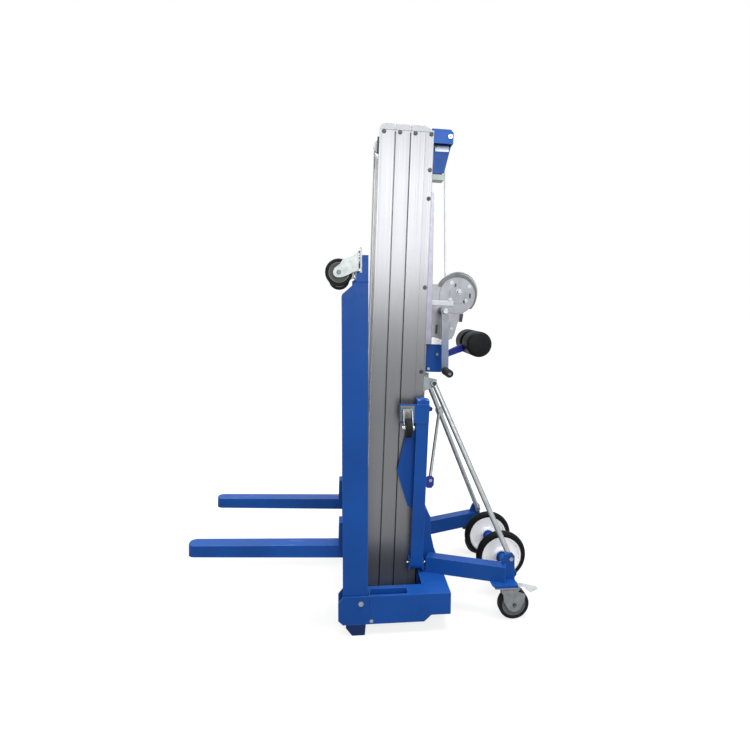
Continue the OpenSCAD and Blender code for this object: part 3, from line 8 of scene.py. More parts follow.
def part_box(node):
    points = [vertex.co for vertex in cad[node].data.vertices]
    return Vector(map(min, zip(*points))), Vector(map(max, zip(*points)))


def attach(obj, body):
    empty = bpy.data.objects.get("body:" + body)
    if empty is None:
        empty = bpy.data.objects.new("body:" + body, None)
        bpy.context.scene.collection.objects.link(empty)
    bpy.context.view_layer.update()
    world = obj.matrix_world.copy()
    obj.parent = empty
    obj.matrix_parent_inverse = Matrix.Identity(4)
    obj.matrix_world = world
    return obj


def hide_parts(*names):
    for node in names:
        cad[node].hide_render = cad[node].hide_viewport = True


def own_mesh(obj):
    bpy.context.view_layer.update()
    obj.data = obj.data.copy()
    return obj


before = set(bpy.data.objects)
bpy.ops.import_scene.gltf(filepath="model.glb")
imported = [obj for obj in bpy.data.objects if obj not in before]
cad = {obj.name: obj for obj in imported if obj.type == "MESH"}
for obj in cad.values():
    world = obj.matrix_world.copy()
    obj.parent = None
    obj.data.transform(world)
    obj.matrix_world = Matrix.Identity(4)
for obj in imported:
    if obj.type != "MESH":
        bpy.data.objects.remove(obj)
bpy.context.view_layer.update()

# Camera at the photographer's place: eye height, 2.4 m from the machine's middle plane,
# turned a little to the right and looking slightly down.
AXLE_FROM_ORIGIN = 0.698
CENTRE_X = AXLE_FROM_ORIGIN - (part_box("transport_axle")[0].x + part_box("transport_axle")[1].x) / 2
EYE = Vector((-CENTRE_X, -2.41896, 1.28132))
YAW = math.radians(5.75)
PITCH = math.radians(5.808)
ROLL = math.radians(0.394)
FRAME_PIXELS = 750
FOCAL_PIXELS = 560.752
PRINCIPAL = (396.396, 358.654)
SENSOR = 36.0

look = Vector((math.sin(YAW) * math.cos(PITCH), math.cos(YAW) * math.cos(PITCH), -math.sin(PITCH)))
level = Vector((math.cos(YAW), -math.sin(YAW), 0.0))
above = level.cross(look)
right = level * math.cos(ROLL) + above * math.sin(ROLL)
up = -level * math.sin(ROLL) + above * math.cos(ROLL)
camera_data = bpy.data.cameras.new("studio_camera")
camera_data.sensor_width = SENSOR
camera_data.lens = FOCAL_PIXELS / FRAME_PIXELS * SENSOR
camera_data.shift_x = (FRAME_PIXELS / 2 - PRINCIPAL[0]) / FRAME_PIXELS
camera_data.shift_y = (PRINCIPAL[1] - FRAME_PIXELS / 2) / FRAME_PIXELS
camera = bpy.data.objects.new("studio_camera", camera_data)
camera.matrix_world = Matrix.Translation(EYE) @ Matrix((right, up, -look)).transposed().to_4x4()
bpy.context.scene.collection.objects.link(camera)
bpy.context.scene.camera = camera
bpy.context.scene.view_settings.view_transform = "Standard"

# Studio: a matt paper floor that keeps the soft shadow and turns to plain white away from
# the machine, a wide soft lamp in front, one overhead, a weak one at the rear corner and a
# white surround.
FLOOR_REACH = 30.0
FLOOR_DROP = 0.0005
PAPER = "#828282"
SHADE_FROM = 0.9
SHADE_TO = 2.2
LIFT_NEAR = 0.79
LIFT_FAR = 1.0
SURROUND = 0.30
KEY = dict(place=(0.35, -4.2, 2.40), aim=(0.1, 0.0, 1.60), size=(2.1, 2.0), watts=106)
OVERHEAD = dict(place=(0.3, -0.5, 6.0), aim=(0.1, 0.0, 0.0), size=(3.6, 3.6), watts=450)
SIDE = dict(place=(3.0, -2.2, 1.4), aim=(0.3, 0.0, 0.5), size=(1.8, 1.8), watts=14)


def linear(hex_colour):
    """An sRGB hex colour as linear red, green, blue and alpha."""
    shares = [int(hex_colour[i:i + 2], 16) / 255 for i in (1, 3, 5)]
    return tuple(s / 12.92 if s <= 0.04045 else ((s + 0.055) / 1.055) ** 2.4 for s in shares) + (1.0,)


def put(tree, kind, feeds=None, **settings):
    """Adds a node with its settings; feeds gives its inputs a value or another node's output."""
    added = tree.nodes.new(kind)
    for name, value in settings.items():
        setattr(added, name, value)
    for socket, value in (feeds or {}).items():
        if isinstance(value, bpy.types.NodeSocket):
            tree.links.new(value, added.inputs[socket])
        else:
            added.inputs[socket].default_value = value
    return added


def shown_white(tree):
    """1 for what is seen straight, mirrored in metal or through glass, 0 for light falling on things."""
    rays = put(tree, "ShaderNodeLightPath").outputs
    seen = put(tree, "ShaderNodeMath", {0: rays["Is Camera Ray"], 1: rays["Is Glossy Ray"]},
               operation="MAXIMUM").outputs[0]
    return put(tree, "ShaderNodeMath", {0: seen, 1: rays["Is Transmission Ray"]},
               operation="MAXIMUM").outputs[0]


paper = bpy.data.materials.new("matt_studio_paper")
paper.use_nodes = True
tree = paper.node_tree
tree.nodes.remove(tree.nodes["Principled BSDF"])
away = put(tree, "ShaderNodeVectorMath", {0: put(tree, "ShaderNodeTexCoord").outputs["Object"]},
           operation="LENGTH").outputs["Value"]
lift = put(tree, "ShaderNodeMapRange", {
    "Value": away, "From Min": SHADE_FROM, "From Max": SHADE_TO, "To Min": LIFT_NEAR, "To Max": LIFT_FAR})
lit = put(tree, "ShaderNodeBsdfDiffuse", {"Color": linear(PAPER)}).outputs[0]
glow = put(tree, "ShaderNodeEmission", {
    "Color": (1, 1, 1, 1), "Strength": lift.outputs["Result"]}).outputs[0]
lifted = put(tree, "ShaderNodeAddShader", {0: lit, 1: glow}).outputs[0]
sheet = put(tree, "ShaderNodeMixShader", {"Fac": shown_white(tree), 1: lit, 2: lifted}).outputs[0]
tree.links.new(sheet, tree.nodes["Material Output"].inputs["Surface"])

floor_mesh = bpy.data.meshes.new("studio_floor")
floor_mesh.from_pydata(
    [(x, y, -FLOOR_DROP) for x, y in
     ((-FLOOR_REACH, -FLOOR_REACH), (FLOOR_REACH, -FLOOR_REACH),
      (FLOOR_REACH, FLOOR_REACH), (-FLOOR_REACH, FLOOR_REACH))],
    [], [(0, 1, 2, 3)])
floor_mesh.materials.append(paper)
floor = bpy.data.objects.new("studio_floor", floor_mesh)
bpy.context.scene.collection.objects.link(floor)

world = bpy.data.worlds.new("white_surround")
world.use_nodes = True
bpy.context.scene.world = world
tree = world.node_tree
strength = put(tree, "ShaderNodeMapRange", {"Value": shown_white(tree), "To Min": SURROUND, "To Max": 1.0})
tree.links.new(strength.outputs["Result"], tree.nodes["Background"].inputs["Strength"])
tree.nodes["Background"].inputs["Color"].default_value = (1, 1, 1, 1)

for label, lamp in (("key", KEY), ("overhead", OVERHEAD), ("side", SIDE)):
    light = bpy.data.lights.new(label + "_softbox", "AREA")
    light.shape = "RECTANGLE"
    light.size, light.size_y = lamp["size"]
    light.energy = lamp["watts"]
    softbox = bpy.data.objects.new(label + "_softbox", light)
    softbox.location = lamp["place"]
    beam = Vector(lamp["aim"]) - Vector(lamp["place"])
    softbox.rotation_euler = beam.to_track_quat("-Z", "Y").to_euler()
    bpy.context.scene.collection.objects.link(softbox)

# Base: folded and welded sheet steel with the leg sockets, deck and mast shoe, powder
# coated signal blue: an even semi-gloss skin with a painted highlight paling it along the
# folds, and a faint orange peel. Its two feet are a darker navy.
ENAMEL_BLUE = "#11438A"
ENAMEL_BLUE_PALE = "#164C9A"
ENAMEL_NAVY = "#162A56"
# painted highlight: the paler blues that edges and folds of the coat take
ENAMEL_EDGE_HIGHLIGHT = "#4F79C4"
NAVY_EDGE_HIGHLIGHT = "#33427A"
PEEL_SIZE = 0.007        # real orange peel is finer; drawn as coarse as it shows
DRIFT_SIZE = 0.25        # slow change of tone over a sheet
DUST_SIZE = 1 / 38       # thick and thin spots of the coat, about 26 mm
EDGE_HIGHLIGHT_WIDTH = 0.0024
ENAMEL_GLOSS = 0.15
BARE_ZINC = ("#919595", "#7D8281")


def finish_named(name):
    """A new material with its tree, its shader and the piece's own coordinates."""
    made = bpy.data.materials.new(name)
    made.use_nodes = True
    tree = made.node_tree
    place = put(tree, "ShaderNodeTexCoord").outputs["Object"]
    return made, tree, tree.nodes["Principled BSDF"], place


def edges(tree, width):
    """1 along outer edges and folds, 0 on flats."""
    rounded = put(tree, "ShaderNodeBevel", {"Radius": width}, samples=4).outputs["Normal"]
    flat = put(tree, "ShaderNodeNewGeometry").outputs["True Normal"]
    turned = put(tree, "ShaderNodeVectorMath", {0: rounded, 1: flat}, operation="DOT_PRODUCT")
    return put(tree, "ShaderNodeMapRange", {
        "Value": turned.outputs["Value"], "From Min": 0.995, "From Max": 0.90}).outputs["Result"]


def enamel(name, colour=ENAMEL_BLUE, pale=ENAMEL_BLUE_PALE, highlight_colour=ENAMEL_EDGE_HIGHLIGHT, rough=0.34,
           bare_of=None, bare=BARE_ZINC, bare_metal=1.0):
    """Powder coat with a slow drift in tone and a painted highlight along the folds; bare_of gives what
    stays uncoated.
    """
    made, tree, shader, place = finish_named(name)
    drift = put(tree, "ShaderNodeTexNoise", {
        "Vector": place, "Scale": 1 / DRIFT_SIZE, "Detail": 3.0}).outputs["Fac"]
    dust = put(tree, "ShaderNodeTexNoise", {
        "Vector": place, "Scale": 1 / DUST_SIZE, "Detail": 6.0}).outputs["Fac"]
    tone = put(tree, "ShaderNodeMapRange", {"Value": drift, "From Min": 0.35, "From Max": 0.7})
    coat = put(tree, "ShaderNodeMix", {0: tone.outputs["Result"], 6: linear(colour), 7: linear(pale)},
               data_type="RGBA").outputs[2]
    thin = put(tree, "ShaderNodeMapRange", {
        "Value": dust, "From Min": 0.35, "From Max": 0.6, "To Min": 0.25, "To Max": 0.8})
    # Painted highlight along edges and folds, its strength varied by the dust noise.
    wear_and_painted_shine = put(tree, "ShaderNodeMath", {0: edges(tree, EDGE_HIGHLIGHT_WIDTH), 1: thin.outputs["Result"]},
               operation="MULTIPLY").outputs[0]
    skin = put(tree, "ShaderNodeMix", {0: wear_and_painted_shine, 6: coat, 7: linear(highlight_colour)},
               data_type="RGBA").outputs[2]
    gloss = put(tree, "ShaderNodeMapRange", {
        "Value": dust, "From Min": 0.3, "From Max": 0.7, "To Min": rough, "To Max": rough + 0.14})
    peel = put(tree, "ShaderNodeTexNoise", {"Vector": place, "Scale": 1 / PEEL_SIZE, "Detail": 1.0})
    bump = put(tree, "ShaderNodeBump", {
        "Height": peel.outputs["Fac"], "Strength": 0.06, "Distance": 0.002})
    tree.links.new(bump.outputs["Normal"], shader.inputs["Normal"])
    tree.links.new(gloss.outputs["Result"], shader.inputs["Roughness"])
    if bare_of:
        uncoated = bare_of(tree, place)
        plate = put(tree, "ShaderNodeMix", {
            0: thin.outputs["Result"], 6: linear(bare[0]), 7: linear(bare[1])}, data_type="RGBA").outputs[2]
        skin = put(tree, "ShaderNodeMix", {0: uncoated, 6: skin, 7: plate}, data_type="RGBA").outputs[2]
        shine = put(tree, "ShaderNodeMath", {0: uncoated, 1: bare_metal}, operation="MULTIPLY")
        tree.links.new(shine.outputs[0], shader.inputs["Metallic"])
    tree.links.new(skin, shader.inputs["Base Color"])
    shader.inputs["Specular IOR Level"].default_value = ENAMEL_GLOSS
    return made


def finish(node, made):
    """Gives a CAD node its material."""
    cad[node].data.materials.clear()
    cad[node].data.materials.append(made)


blue_enamel = enamel("powder_coated_steel_blue")
navy_enamel = enamel("powder_coated_steel_navy", ENAMEL_NAVY, ENAMEL_NAVY, NAVY_EDGE_HIGHLIGHT, 0.42)
finish("base_frame", blue_enamel)
finish("floor_feet", navy_enamel)

# Mast: three nested channels extruded in aluminium and clear anodised, so they are pale,
# satin and finely drawn along their length; painted shade darkens their corners along the
# grooves and a painted reflection makes the front lips near white. Cast end caps close the
# walls; dark bolts hold them and the back column.
MAST_LEAN = math.radians(1.8)
MAST_FOOT = 0.096 - CENTRE_X
MAST_HALF = 0.140
MAST_TOP = 1.958
CAP_HIGH = 0.022
SECTIONS = (("inner_mast", "front", 0.0, 0.060), ("mid_mast", "middle", 0.064, 0.121),
            ("frame", "rear", 0.125, 0.217))
STEP_LINE = 0.182
STEP_FOOT = 0.064
STEP_WIDTH = 0.0016
STEP_PROUD = 0.0006
ANODISED = "#707173"
ANODISED_SHADE = "#646568"
# painted reflection: the near-white tone of the front lips stands for the bright surround mirrored there
FRONT_PAINTED_REFLECTION = "#F0F1F2"
DULL_FOOT = (-0.43, -0.20)   # floor dirt leaves a film from 0.43 m down, full at 0.20 m
METAL_SHOWS = 0.9
FILM_HIDES = 0.34
LIP_HIDES = 0.6
DRAWN_ROUGH = 0.27
# painted shade: the dark tone and its width along the edges stand for the shade falling into the grooves
GROOVE_PAINTED_SHADE = "#2C2F34"
CORNER_SHADE_WIDTH = 0.0034
CAST_PALE = ("#9DA0A3", "#919498")
DRAW_LINE = 0.0035       # die lines are finer; drawn as coarse as they show
DRAW_LENGTH = 1.25
BLOOM_SIZE = 1 / 3       # clouds in the anodised skin
BOLT_BLACK = ("#33353A", "#44464B")
ZINC = ("#959B9D", "#82888A")
SIDE_SKIN = (MAST_HALF - 0.0015, MAST_HALF - 0.0010)
BOLT_HEADS_FROM = (0.1345, 0.1350)       # the black heads lie this far from the middle
BOLT_HEADS_TO = (0.1462, 0.1466)
BOLT_IN = 0.0175
BOLT_DROP = 0.008
REAR_BOLT_IN = 0.011
REAR_BOLT_DROPS = (0.008, 0.146, 0.258, 0.612, 0.958)
BOLT_SIZE = (0.0072, 0.0088, 0.0038)     # radius of head and of washer, rise
CAP_SCREW_SIZE = (0.0036, 0.0050, 0.0022)
CAP_SCREW_Y = 0.1355
CAP_SCREW_IN = (0.030, 0.016, 0.038)     # in from the front, the back, the rear section's back
ROUND = 20
HEX = 6
WASHER_SIDES = 28
UP = (math.sin(MAST_LEAN), 0.0, math.cos(MAST_LEAN))
BACK = (math.cos(MAST_LEAN), 0.0, -math.sin(MAST_LEAN))
FORWARD = (-math.cos(MAST_LEAN), 0.0, math.sin(MAST_LEAN))
FRONT_BAND = [-MAST_FOOT * math.cos(MAST_LEAN) - depth for depth in (0.030, 0.020)]


def reach(tree, place, direction, start, end):
    """0 before start and 1 beyond end, measured along a direction."""
    along = put(tree, "ShaderNodeVectorMath", {0: place, 1: direction}, operation="DOT_PRODUCT")
    return put(tree, "ShaderNodeMapRange", {
        "Value": along.outputs["Value"], "From Min": start, "From Max": end}).outputs["Result"]


def off_centre(tree, place, start, end):
    """0 while nearer to the middle plane than start, 1 beyond end."""
    sideways = put(tree, "ShaderNodeSeparateXYZ", {"Vector": place}).outputs["Y"]
    apart = put(tree, "ShaderNodeMath", {0: sideways}, operation="ABSOLUTE").outputs[0]
    return put(tree, "ShaderNodeMapRange", {
        "Value": apart, "From Min": start, "From Max": end}).outputs["Result"]


def mast(u, y, w):
    """A point of the leaning mast, from its places rearward, sideways and upward."""
    return Vector((MAST_FOOT + u * math.cos(MAST_LEAN) + w * math.sin(MAST_LEAN), y,
                   -u * math.sin(MAST_LEAN) + w * math.cos(MAST_LEAN)))


def drawn_aluminium(name, colour, shade, corner_shade):
    """Satin metal with die lines up the mast, painted shade at the groove corners, a painted reflection on
    the pale front lips and a dull foot.
    """
    made, tree, shader, place = finish_named(name)
    upright = put(tree, "ShaderNodeVectorRotate", {"Vector": place, "Angle": -MAST_LEAN},
                  rotation_type="Y_AXIS").outputs["Vector"]
    stretched = put(tree, "ShaderNodeMapping", {
        "Vector": upright, "Scale": (1 / DRAW_LINE, 1 / DRAW_LINE, 1 / DRAW_LENGTH)}).outputs["Vector"]
    lines = put(tree, "ShaderNodeTexNoise", {
        "Vector": stretched, "Scale": 1.0, "Detail": 2.0}).outputs["Fac"]
    bloom = put(tree, "ShaderNodeTexNoise", {
        "Vector": place, "Scale": 1 / BLOOM_SIZE, "Detail": 4.0}).outputs["Fac"]
    drawn = put(tree, "ShaderNodeMapRange", {
        "Value": lines, "From Min": 0.3, "From Max": 0.7, "To Min": 0.0, "To Max": 0.22})
    clouded = put(tree, "ShaderNodeMapRange", {
        "Value": bloom, "From Min": 0.3, "From Max": 0.7, "To Min": 0.0, "To Max": 0.45})
    share = put(tree, "ShaderNodeMath", {0: drawn.outputs["Result"], 1: clouded.outputs["Result"]},
                operation="ADD").outputs[0]
    body = put(tree, "ShaderNodeMix", {0: share, 6: linear(colour), 7: linear(shade)},
               data_type="RGBA").outputs[2]
    ahead = reach(tree, place, FORWARD, *FRONT_BAND)
    behind = put(tree, "ShaderNodeMath", {0: 1.0, 1: ahead}, operation="SUBTRACT").outputs[0]
    # Painted shade darkens the edges along the grooves, everywhere except on the front band.
    corners = put(tree, "ShaderNodeMath", {0: edges(tree, CORNER_SHADE_WIDTH), 1: behind}, operation="MULTIPLY")
    groove_shaded = put(tree, "ShaderNodeMix", {0: corners.outputs[0], 6: body, 7: linear(corner_shade)},
                 data_type="RGBA").outputs[2]
    skin_side = off_centre(tree, place, *SIDE_SKIN)
    within = put(tree, "ShaderNodeMath", {0: 1.0, 1: skin_side}, operation="SUBTRACT").outputs[0]
    front = put(tree, "ShaderNodeMath", {0: within, 1: ahead}, operation="MULTIPLY").outputs[0]
    # Painted reflection: the front lip takes a near-white colour and less metal.
    front_reflected = put(tree, "ShaderNodeMix", {0: front, 6: groove_shaded, 7: linear(FRONT_PAINTED_REFLECTION)}, data_type="RGBA")
    tree.links.new(front_reflected.outputs[2], shader.inputs["Base Color"])
    film = put(tree, "ShaderNodeMath", {
        0: reach(tree, place, (0, 0, -1), *DULL_FOOT), 1: -FILM_HIDES, 2: METAL_SHOWS},
        operation="MULTIPLY_ADD")
    metal = put(tree, "ShaderNodeMath", {0: front, 1: -LIP_HIDES, 2: film.outputs[0]},
                operation="MULTIPLY_ADD")
    tree.links.new(metal.outputs[0], shader.inputs["Metallic"])
    satin = put(tree, "ShaderNodeMapRange", {
        "Value": lines, "From Min": 0.3, "From Max": 0.7,
        "To Min": DRAWN_ROUGH, "To Max": DRAWN_ROUGH + 0.06})
    tree.links.new(satin.outputs["Result"], shader.inputs["Roughness"])
    bump = put(tree, "ShaderNodeBump", {"Height": lines, "Strength": 0.02, "Distance": 0.001})
    tree.links.new(bump.outputs["Normal"], shader.inputs["Normal"])
    return made


def two_metals(name, share_of, inside, outside, metal=(1.0, 1.0), rough=(0.35, 0.45), cloud=60.0,
               grain=0.08, gloss=(0.5, 0.5)):
    """One piece with two finishes, parted by share_of(tree, place); cloud counts its mottle per metre."""
    made, tree, shader, place = finish_named(name)
    share = share_of(tree, place)
    mottle = put(tree, "ShaderNodeTexNoise", {
        "Vector": place, "Scale": cloud, "Detail": 4.0}).outputs["Fac"]
    tone = put(tree, "ShaderNodeMapRange", {
        "Value": mottle, "From Min": 0.3, "From Max": 0.7}).outputs["Result"]
    inner = put(tree, "ShaderNodeMix", {0: tone, 6: linear(inside[0]), 7: linear(inside[1])},
                data_type="RGBA").outputs[2]
    outer = put(tree, "ShaderNodeMix", {0: tone, 6: linear(outside[0]), 7: linear(outside[1])},
                data_type="RGBA").outputs[2]
    skin = put(tree, "ShaderNodeMix", {0: share, 6: inner, 7: outer}, data_type="RGBA").outputs[2]
    tree.links.new(skin, shader.inputs["Base Color"])
    for socket, pair in (("Metallic", metal), ("Roughness", rough), ("Specular IOR Level", gloss)):
        level_of = put(tree, "ShaderNodeMath", {0: share, 1: pair[1] - pair[0], 2: pair[0]},
                       operation="MULTIPLY_ADD")
        tree.links.new(level_of.outputs[0], shader.inputs[socket])
    bump = put(tree, "ShaderNodeBump", {"Height": mottle, "Strength": grain, "Distance": 0.001})
    tree.links.new(bump.outputs["Normal"], shader.inputs["Normal"])
    return made


def one_finish(name, tones, metal, rough, cloud=70.0, grain=0.08, gloss=0.5):
    """One finish all over, with a faint mottle between its two tones."""
    return two_metals(name, lambda tree, place: 1.0, tones, tones, metal=(metal, metal),
                      rough=(rough, rough), cloud=cloud, grain=grain, gloss=(gloss, gloss))


def prism(shape, outline, y0, y1, place=mast, soften=0.0006):
    """Adds a plate cut to an outline and y1 - y0 thick, with softened edges."""
    part = bmesh.new()
    n = len(outline)
    ends = [[part.verts.new(place(p[0], y, p[1])) for p in outline] for y in (y0, y1)]
    part.faces.new(ends[0])
    part.faces.new(list(reversed(ends[1])))
    for k in range(n):
        part.faces.new([ends[0][(k + 1) % n], ends[0][k], ends[1][k], ends[1][(k + 1) % n]])
    bmesh.ops.recalc_face_normals(part, faces=part.faces)
    if soften:
        bmesh.ops.bevel(part, geom=part.edges[:], offset=soften, segments=1, affect="EDGES",
                        offset_type="OFFSET", clamp_overlap=True)
    part.verts.index_update()
    copies = [shape.verts.new(v.co) for v in part.verts]
    for face in part.faces:
        shape.faces.new([copies[v.index] for v in face.verts])
    part.free()


def box_outline(u0, u1, w0, w1):
    """A rectangle as an outline."""
    return [(u0, w0), (u1, w0), (u1, w1), (u0, w1)]


def keep(name, mesh, body):
    """Puts a finished mesh in the scene, riding on its body."""
    finished = bpy.data.objects.new(name, mesh)
    bpy.context.scene.collection.objects.link(finished)
    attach(finished, body)
    return finished


def piece(name, shape, made, body, crease=35.0):
    """Finishes a shape as a piece: faces outwards, soft shading with crisp edges, its material."""
    bmesh.ops.recalc_face_normals(shape, faces=shape.faces)
    for face in shape.faces:
        face.smooth = True
    for edge in shape.edges:
        if len(edge.link_faces) == 2 and edge.calc_face_angle(0.0) > math.radians(crease):
            edge.smooth = False
    mesh = bpy.data.meshes.new(name)
    shape.to_mesh(mesh)
    shape.free()
    mesh.materials.append(made)
    return keep(name, mesh, body)


def plates(name, outlines, y0, y1, made, body, slot, soften=0.0006, sides=(-1, 1)):
    """A piece of plates cut to outlines, lying from y0 to y1 out from the middle on each side."""
    shape = bmesh.new()
    for outline in outlines:
        for side in sides:
            prism(shape, outline, side * y0, side * y1, soften=soften)
    return piece(name, shape, made, body)


def spread(name, tree, points, links, inputs, body, outward=None):
    """Runs a node tree on a mesh of points or lines and keeps the result as a plain piece."""
    mesh = bpy.data.meshes.new(name + "_layout")
    mesh.from_pydata(points, links, [])
    if outward:
        turns = mesh.attributes.new("turn", "FLOAT_VECTOR", "POINT")
        for i, direction in enumerate(outward):
            turns.data[i].vector = Vector((0, 0, 1)).rotation_difference(Vector(direction)).to_euler()
    layout = bpy.data.objects.new(name + "_layout", mesh)
    bpy.context.scene.collection.objects.link(layout)
    modifier = layout.modifiers.new("layout", "NODES")
    modifier.node_group = tree
    sockets = {item.name: item.identifier for item in tree.interface.items_tree
               if item.item_type == "SOCKET" and item.in_out == "INPUT"}
    for label, value in inputs.items():
        modifier[sockets[label]] = value
    bpy.context.view_layer.update()
    evaluated = layout.evaluated_get(bpy.context.evaluated_depsgraph_get())
    baked = bpy.data.meshes.new_from_object(evaluated)
    layout.modifiers.remove(modifier)
    bpy.data.objects.remove(layout)
    return keep(name, baked, body)


def tree_with(name, inputs):
    """A geometry tree with named inputs and one geometry output."""
    tree = bpy.data.node_groups.new(name, "GeometryNodeTree")
    tree.interface.new_socket("Geometry", in_out="INPUT", socket_type="NodeSocketGeometry")
    for label, kind, value in inputs:
        socket = tree.interface.new_socket(label, in_out="INPUT", socket_type=kind)
        if value is not None:
            socket.default_value = value
    tree.interface.new_socket("Geometry", in_out="OUTPUT", socket_type="NodeSocketGeometry")
    return tree, put(tree, "NodeGroupInput").outputs, put(tree, "NodeGroupOutput").inputs


# A screw head on its washer, standing on each point along the point's own turn.
screws, given, result = tree_with("screws_on_washers", [
    ("Head Radius", "NodeSocketFloat", CAP_SCREW_SIZE[0]),
    ("Washer Radius", "NodeSocketFloat", CAP_SCREW_SIZE[1]),
    ("Head Height", "NodeSocketFloat", CAP_SCREW_SIZE[2]),
    ("Sides", "NodeSocketInt", ROUND), ("Finish", "NodeSocketMaterial", None)])
head = put(screws, "GeometryNodeMeshCylinder", {
    "Vertices": given["Sides"], "Radius": given["Head Radius"], "Depth": given["Head Height"]})
half_head = put(screws, "ShaderNodeMath", {0: given["Head Height"], 1: 0.5}, operation="MULTIPLY")
head_rise = put(screws, "ShaderNodeCombineXYZ", {"Z": half_head.outputs[0]})
raised_head = put(screws, "GeometryNodeTransform", {
    "Geometry": head.outputs["Mesh"], "Translation": head_rise.outputs["Vector"]})
washer_height = put(screws, "ShaderNodeMath", {0: given["Head Height"], 1: 0.3}, operation="MULTIPLY")
washer = put(screws, "GeometryNodeMeshCylinder", {
    "Vertices": WASHER_SIDES, "Radius": given["Washer Radius"], "Depth": washer_height.outputs[0]})
half_washer = put(screws, "ShaderNodeMath", {0: washer_height.outputs[0], 1: 0.5}, operation="MULTIPLY")
washer_rise = put(screws, "ShaderNodeCombineXYZ", {"Z": half_washer.outputs[0]})
raised_washer = put(screws, "GeometryNodeTransform", {
    "Geometry": washer.outputs["Mesh"], "Translation": washer_rise.outputs["Vector"]})
screw = put(screws, "GeometryNodeJoinGeometry")
screws.links.new(raised_head.outputs["Geometry"], screw.inputs[0])
screws.links.new(raised_washer.outputs["Geometry"], screw.inputs[0])
turn = put(screws, "GeometryNodeInputNamedAttribute", {"Name": "turn"}, data_type="FLOAT_VECTOR")
standing = put(screws, "GeometryNodeInstanceOnPoints", {
    "Points": given["Geometry"], "Instance": screw.outputs[0], "Rotation": turn.outputs["Attribute"]})
solid_screws = put(screws, "GeometryNodeRealizeInstances", {"Geometry": standing.outputs["Instances"]})
finished_screws = put(screws, "GeometryNodeSetMaterial", {
    "Geometry": solid_screws.outputs["Geometry"], "Material": given["Finish"]})
screws.links.new(finished_screws.outputs["Geometry"], result["Geometry"])


def screwed(name, spots, size, made, body, sides=HEX):
    """Heads on washers at each (place, direction) of a body; size is head radius, washer radius, rise."""
    return spread(name, screws, [place for place, way in spots], [], {
        "Head Radius": size[0], "Washer Radius": size[1], "Head Height": size[2], "Sides": sides,
        "Finish": made}, body, outward=[way for place, way in spots])


mast_aluminium = drawn_aluminium("clear_anodised_extrusion", ANODISED, ANODISED_SHADE, GROOVE_PAINTED_SHADE)
cap_aluminium = one_finish("cast_aluminium_pale", CAST_PALE, 0.3, 0.42, cloud=240.0, grain=0.12)
black_oxide = one_finish("black_oxide_steel", BOLT_BLACK, 1.0, 0.42)
zinc = one_finish("bright_zinc_plate", ZINC, 1.0, 0.34)
for node in ("mast_outer", "mast_mid", "mast_inner"):
    finish(node, mast_aluminium)
for node in ("mast_outer_cap", "mast_mid_cap", "mast_inner_cap"):
    finish(node, cap_aluminium)


def bolt_heads_on_mast(tree, place):
    """The black heads on the mast's side faces; the other bolts of the frame are zinc."""
    outside = off_centre(tree, place, *BOLT_HEADS_FROM)
    beyond = off_centre(tree, place, *BOLT_HEADS_TO)
    return put(tree, "ShaderNodeMath", {0: outside, 1: beyond}, operation="SUBTRACT").outputs[0]


finish("frame_fasteners", two_metals("zinc_and_black_bolts", bolt_heads_on_mast, ZINC, BOLT_BLACK))

plates("mast_step_lines", [box_outline(STEP_LINE, STEP_LINE + STEP_WIDTH, STEP_FOOT, MAST_TOP - 0.002)],
       MAST_HALF, MAST_HALF + STEP_PROUD, mast_aluminium, "frame", "mast_aluminium", soften=0)

for body, label, front, rear in SECTIONS:
    behind = CAP_SCREW_IN[2] if label == "rear" else CAP_SCREW_IN[1]
    spots = [(mast(u, side * CAP_SCREW_Y, MAST_TOP + CAP_HIGH - 0.0002), UP) for side in (-1, 1)
             for u in (front + CAP_SCREW_IN[0], rear - behind)]
    screwed("cap_screws_" + label, spots, CAP_SCREW_SIZE, zinc, body, sides=ROUND)
    drops = [(front + BOLT_IN, BOLT_DROP)]
    if label == "rear":
        drops += [(rear - REAR_BOLT_IN, drop) for drop in REAR_BOLT_DROPS]
    spots = [(mast(u, side * MAST_HALF, MAST_TOP - drop), (0, side, 0)) for side in (-1, 1)
             for u, drop in drops]
    screwed("mast_washers_" + label, spots, BOLT_SIZE, black_oxide, body, sides=ROUND)

# Pale moulded wear strips on the back of the two moving end caps, that take up the gap to
# the section behind.
WEAR_PALE = ("#E2E3E4", "#D6D7D9")
WEAR_THICK = 0.0030
WEAR_Y = (0.1305, 0.1408)
wear_strip = one_finish("moulded_wear_strip", WEAR_PALE, 0.0, 0.5, cloud=200.0)
for body, label, front, rear in SECTIONS[:2]:
    strip = box_outline(rear - 0.0004, rear + WEAR_THICK, MAST_TOP + 0.003, MAST_TOP + CAP_HIGH - 0.001)
    plates("cap_wear_strips_" + label, [strip], *WEAR_Y, wear_strip, body, "glide_plastic")

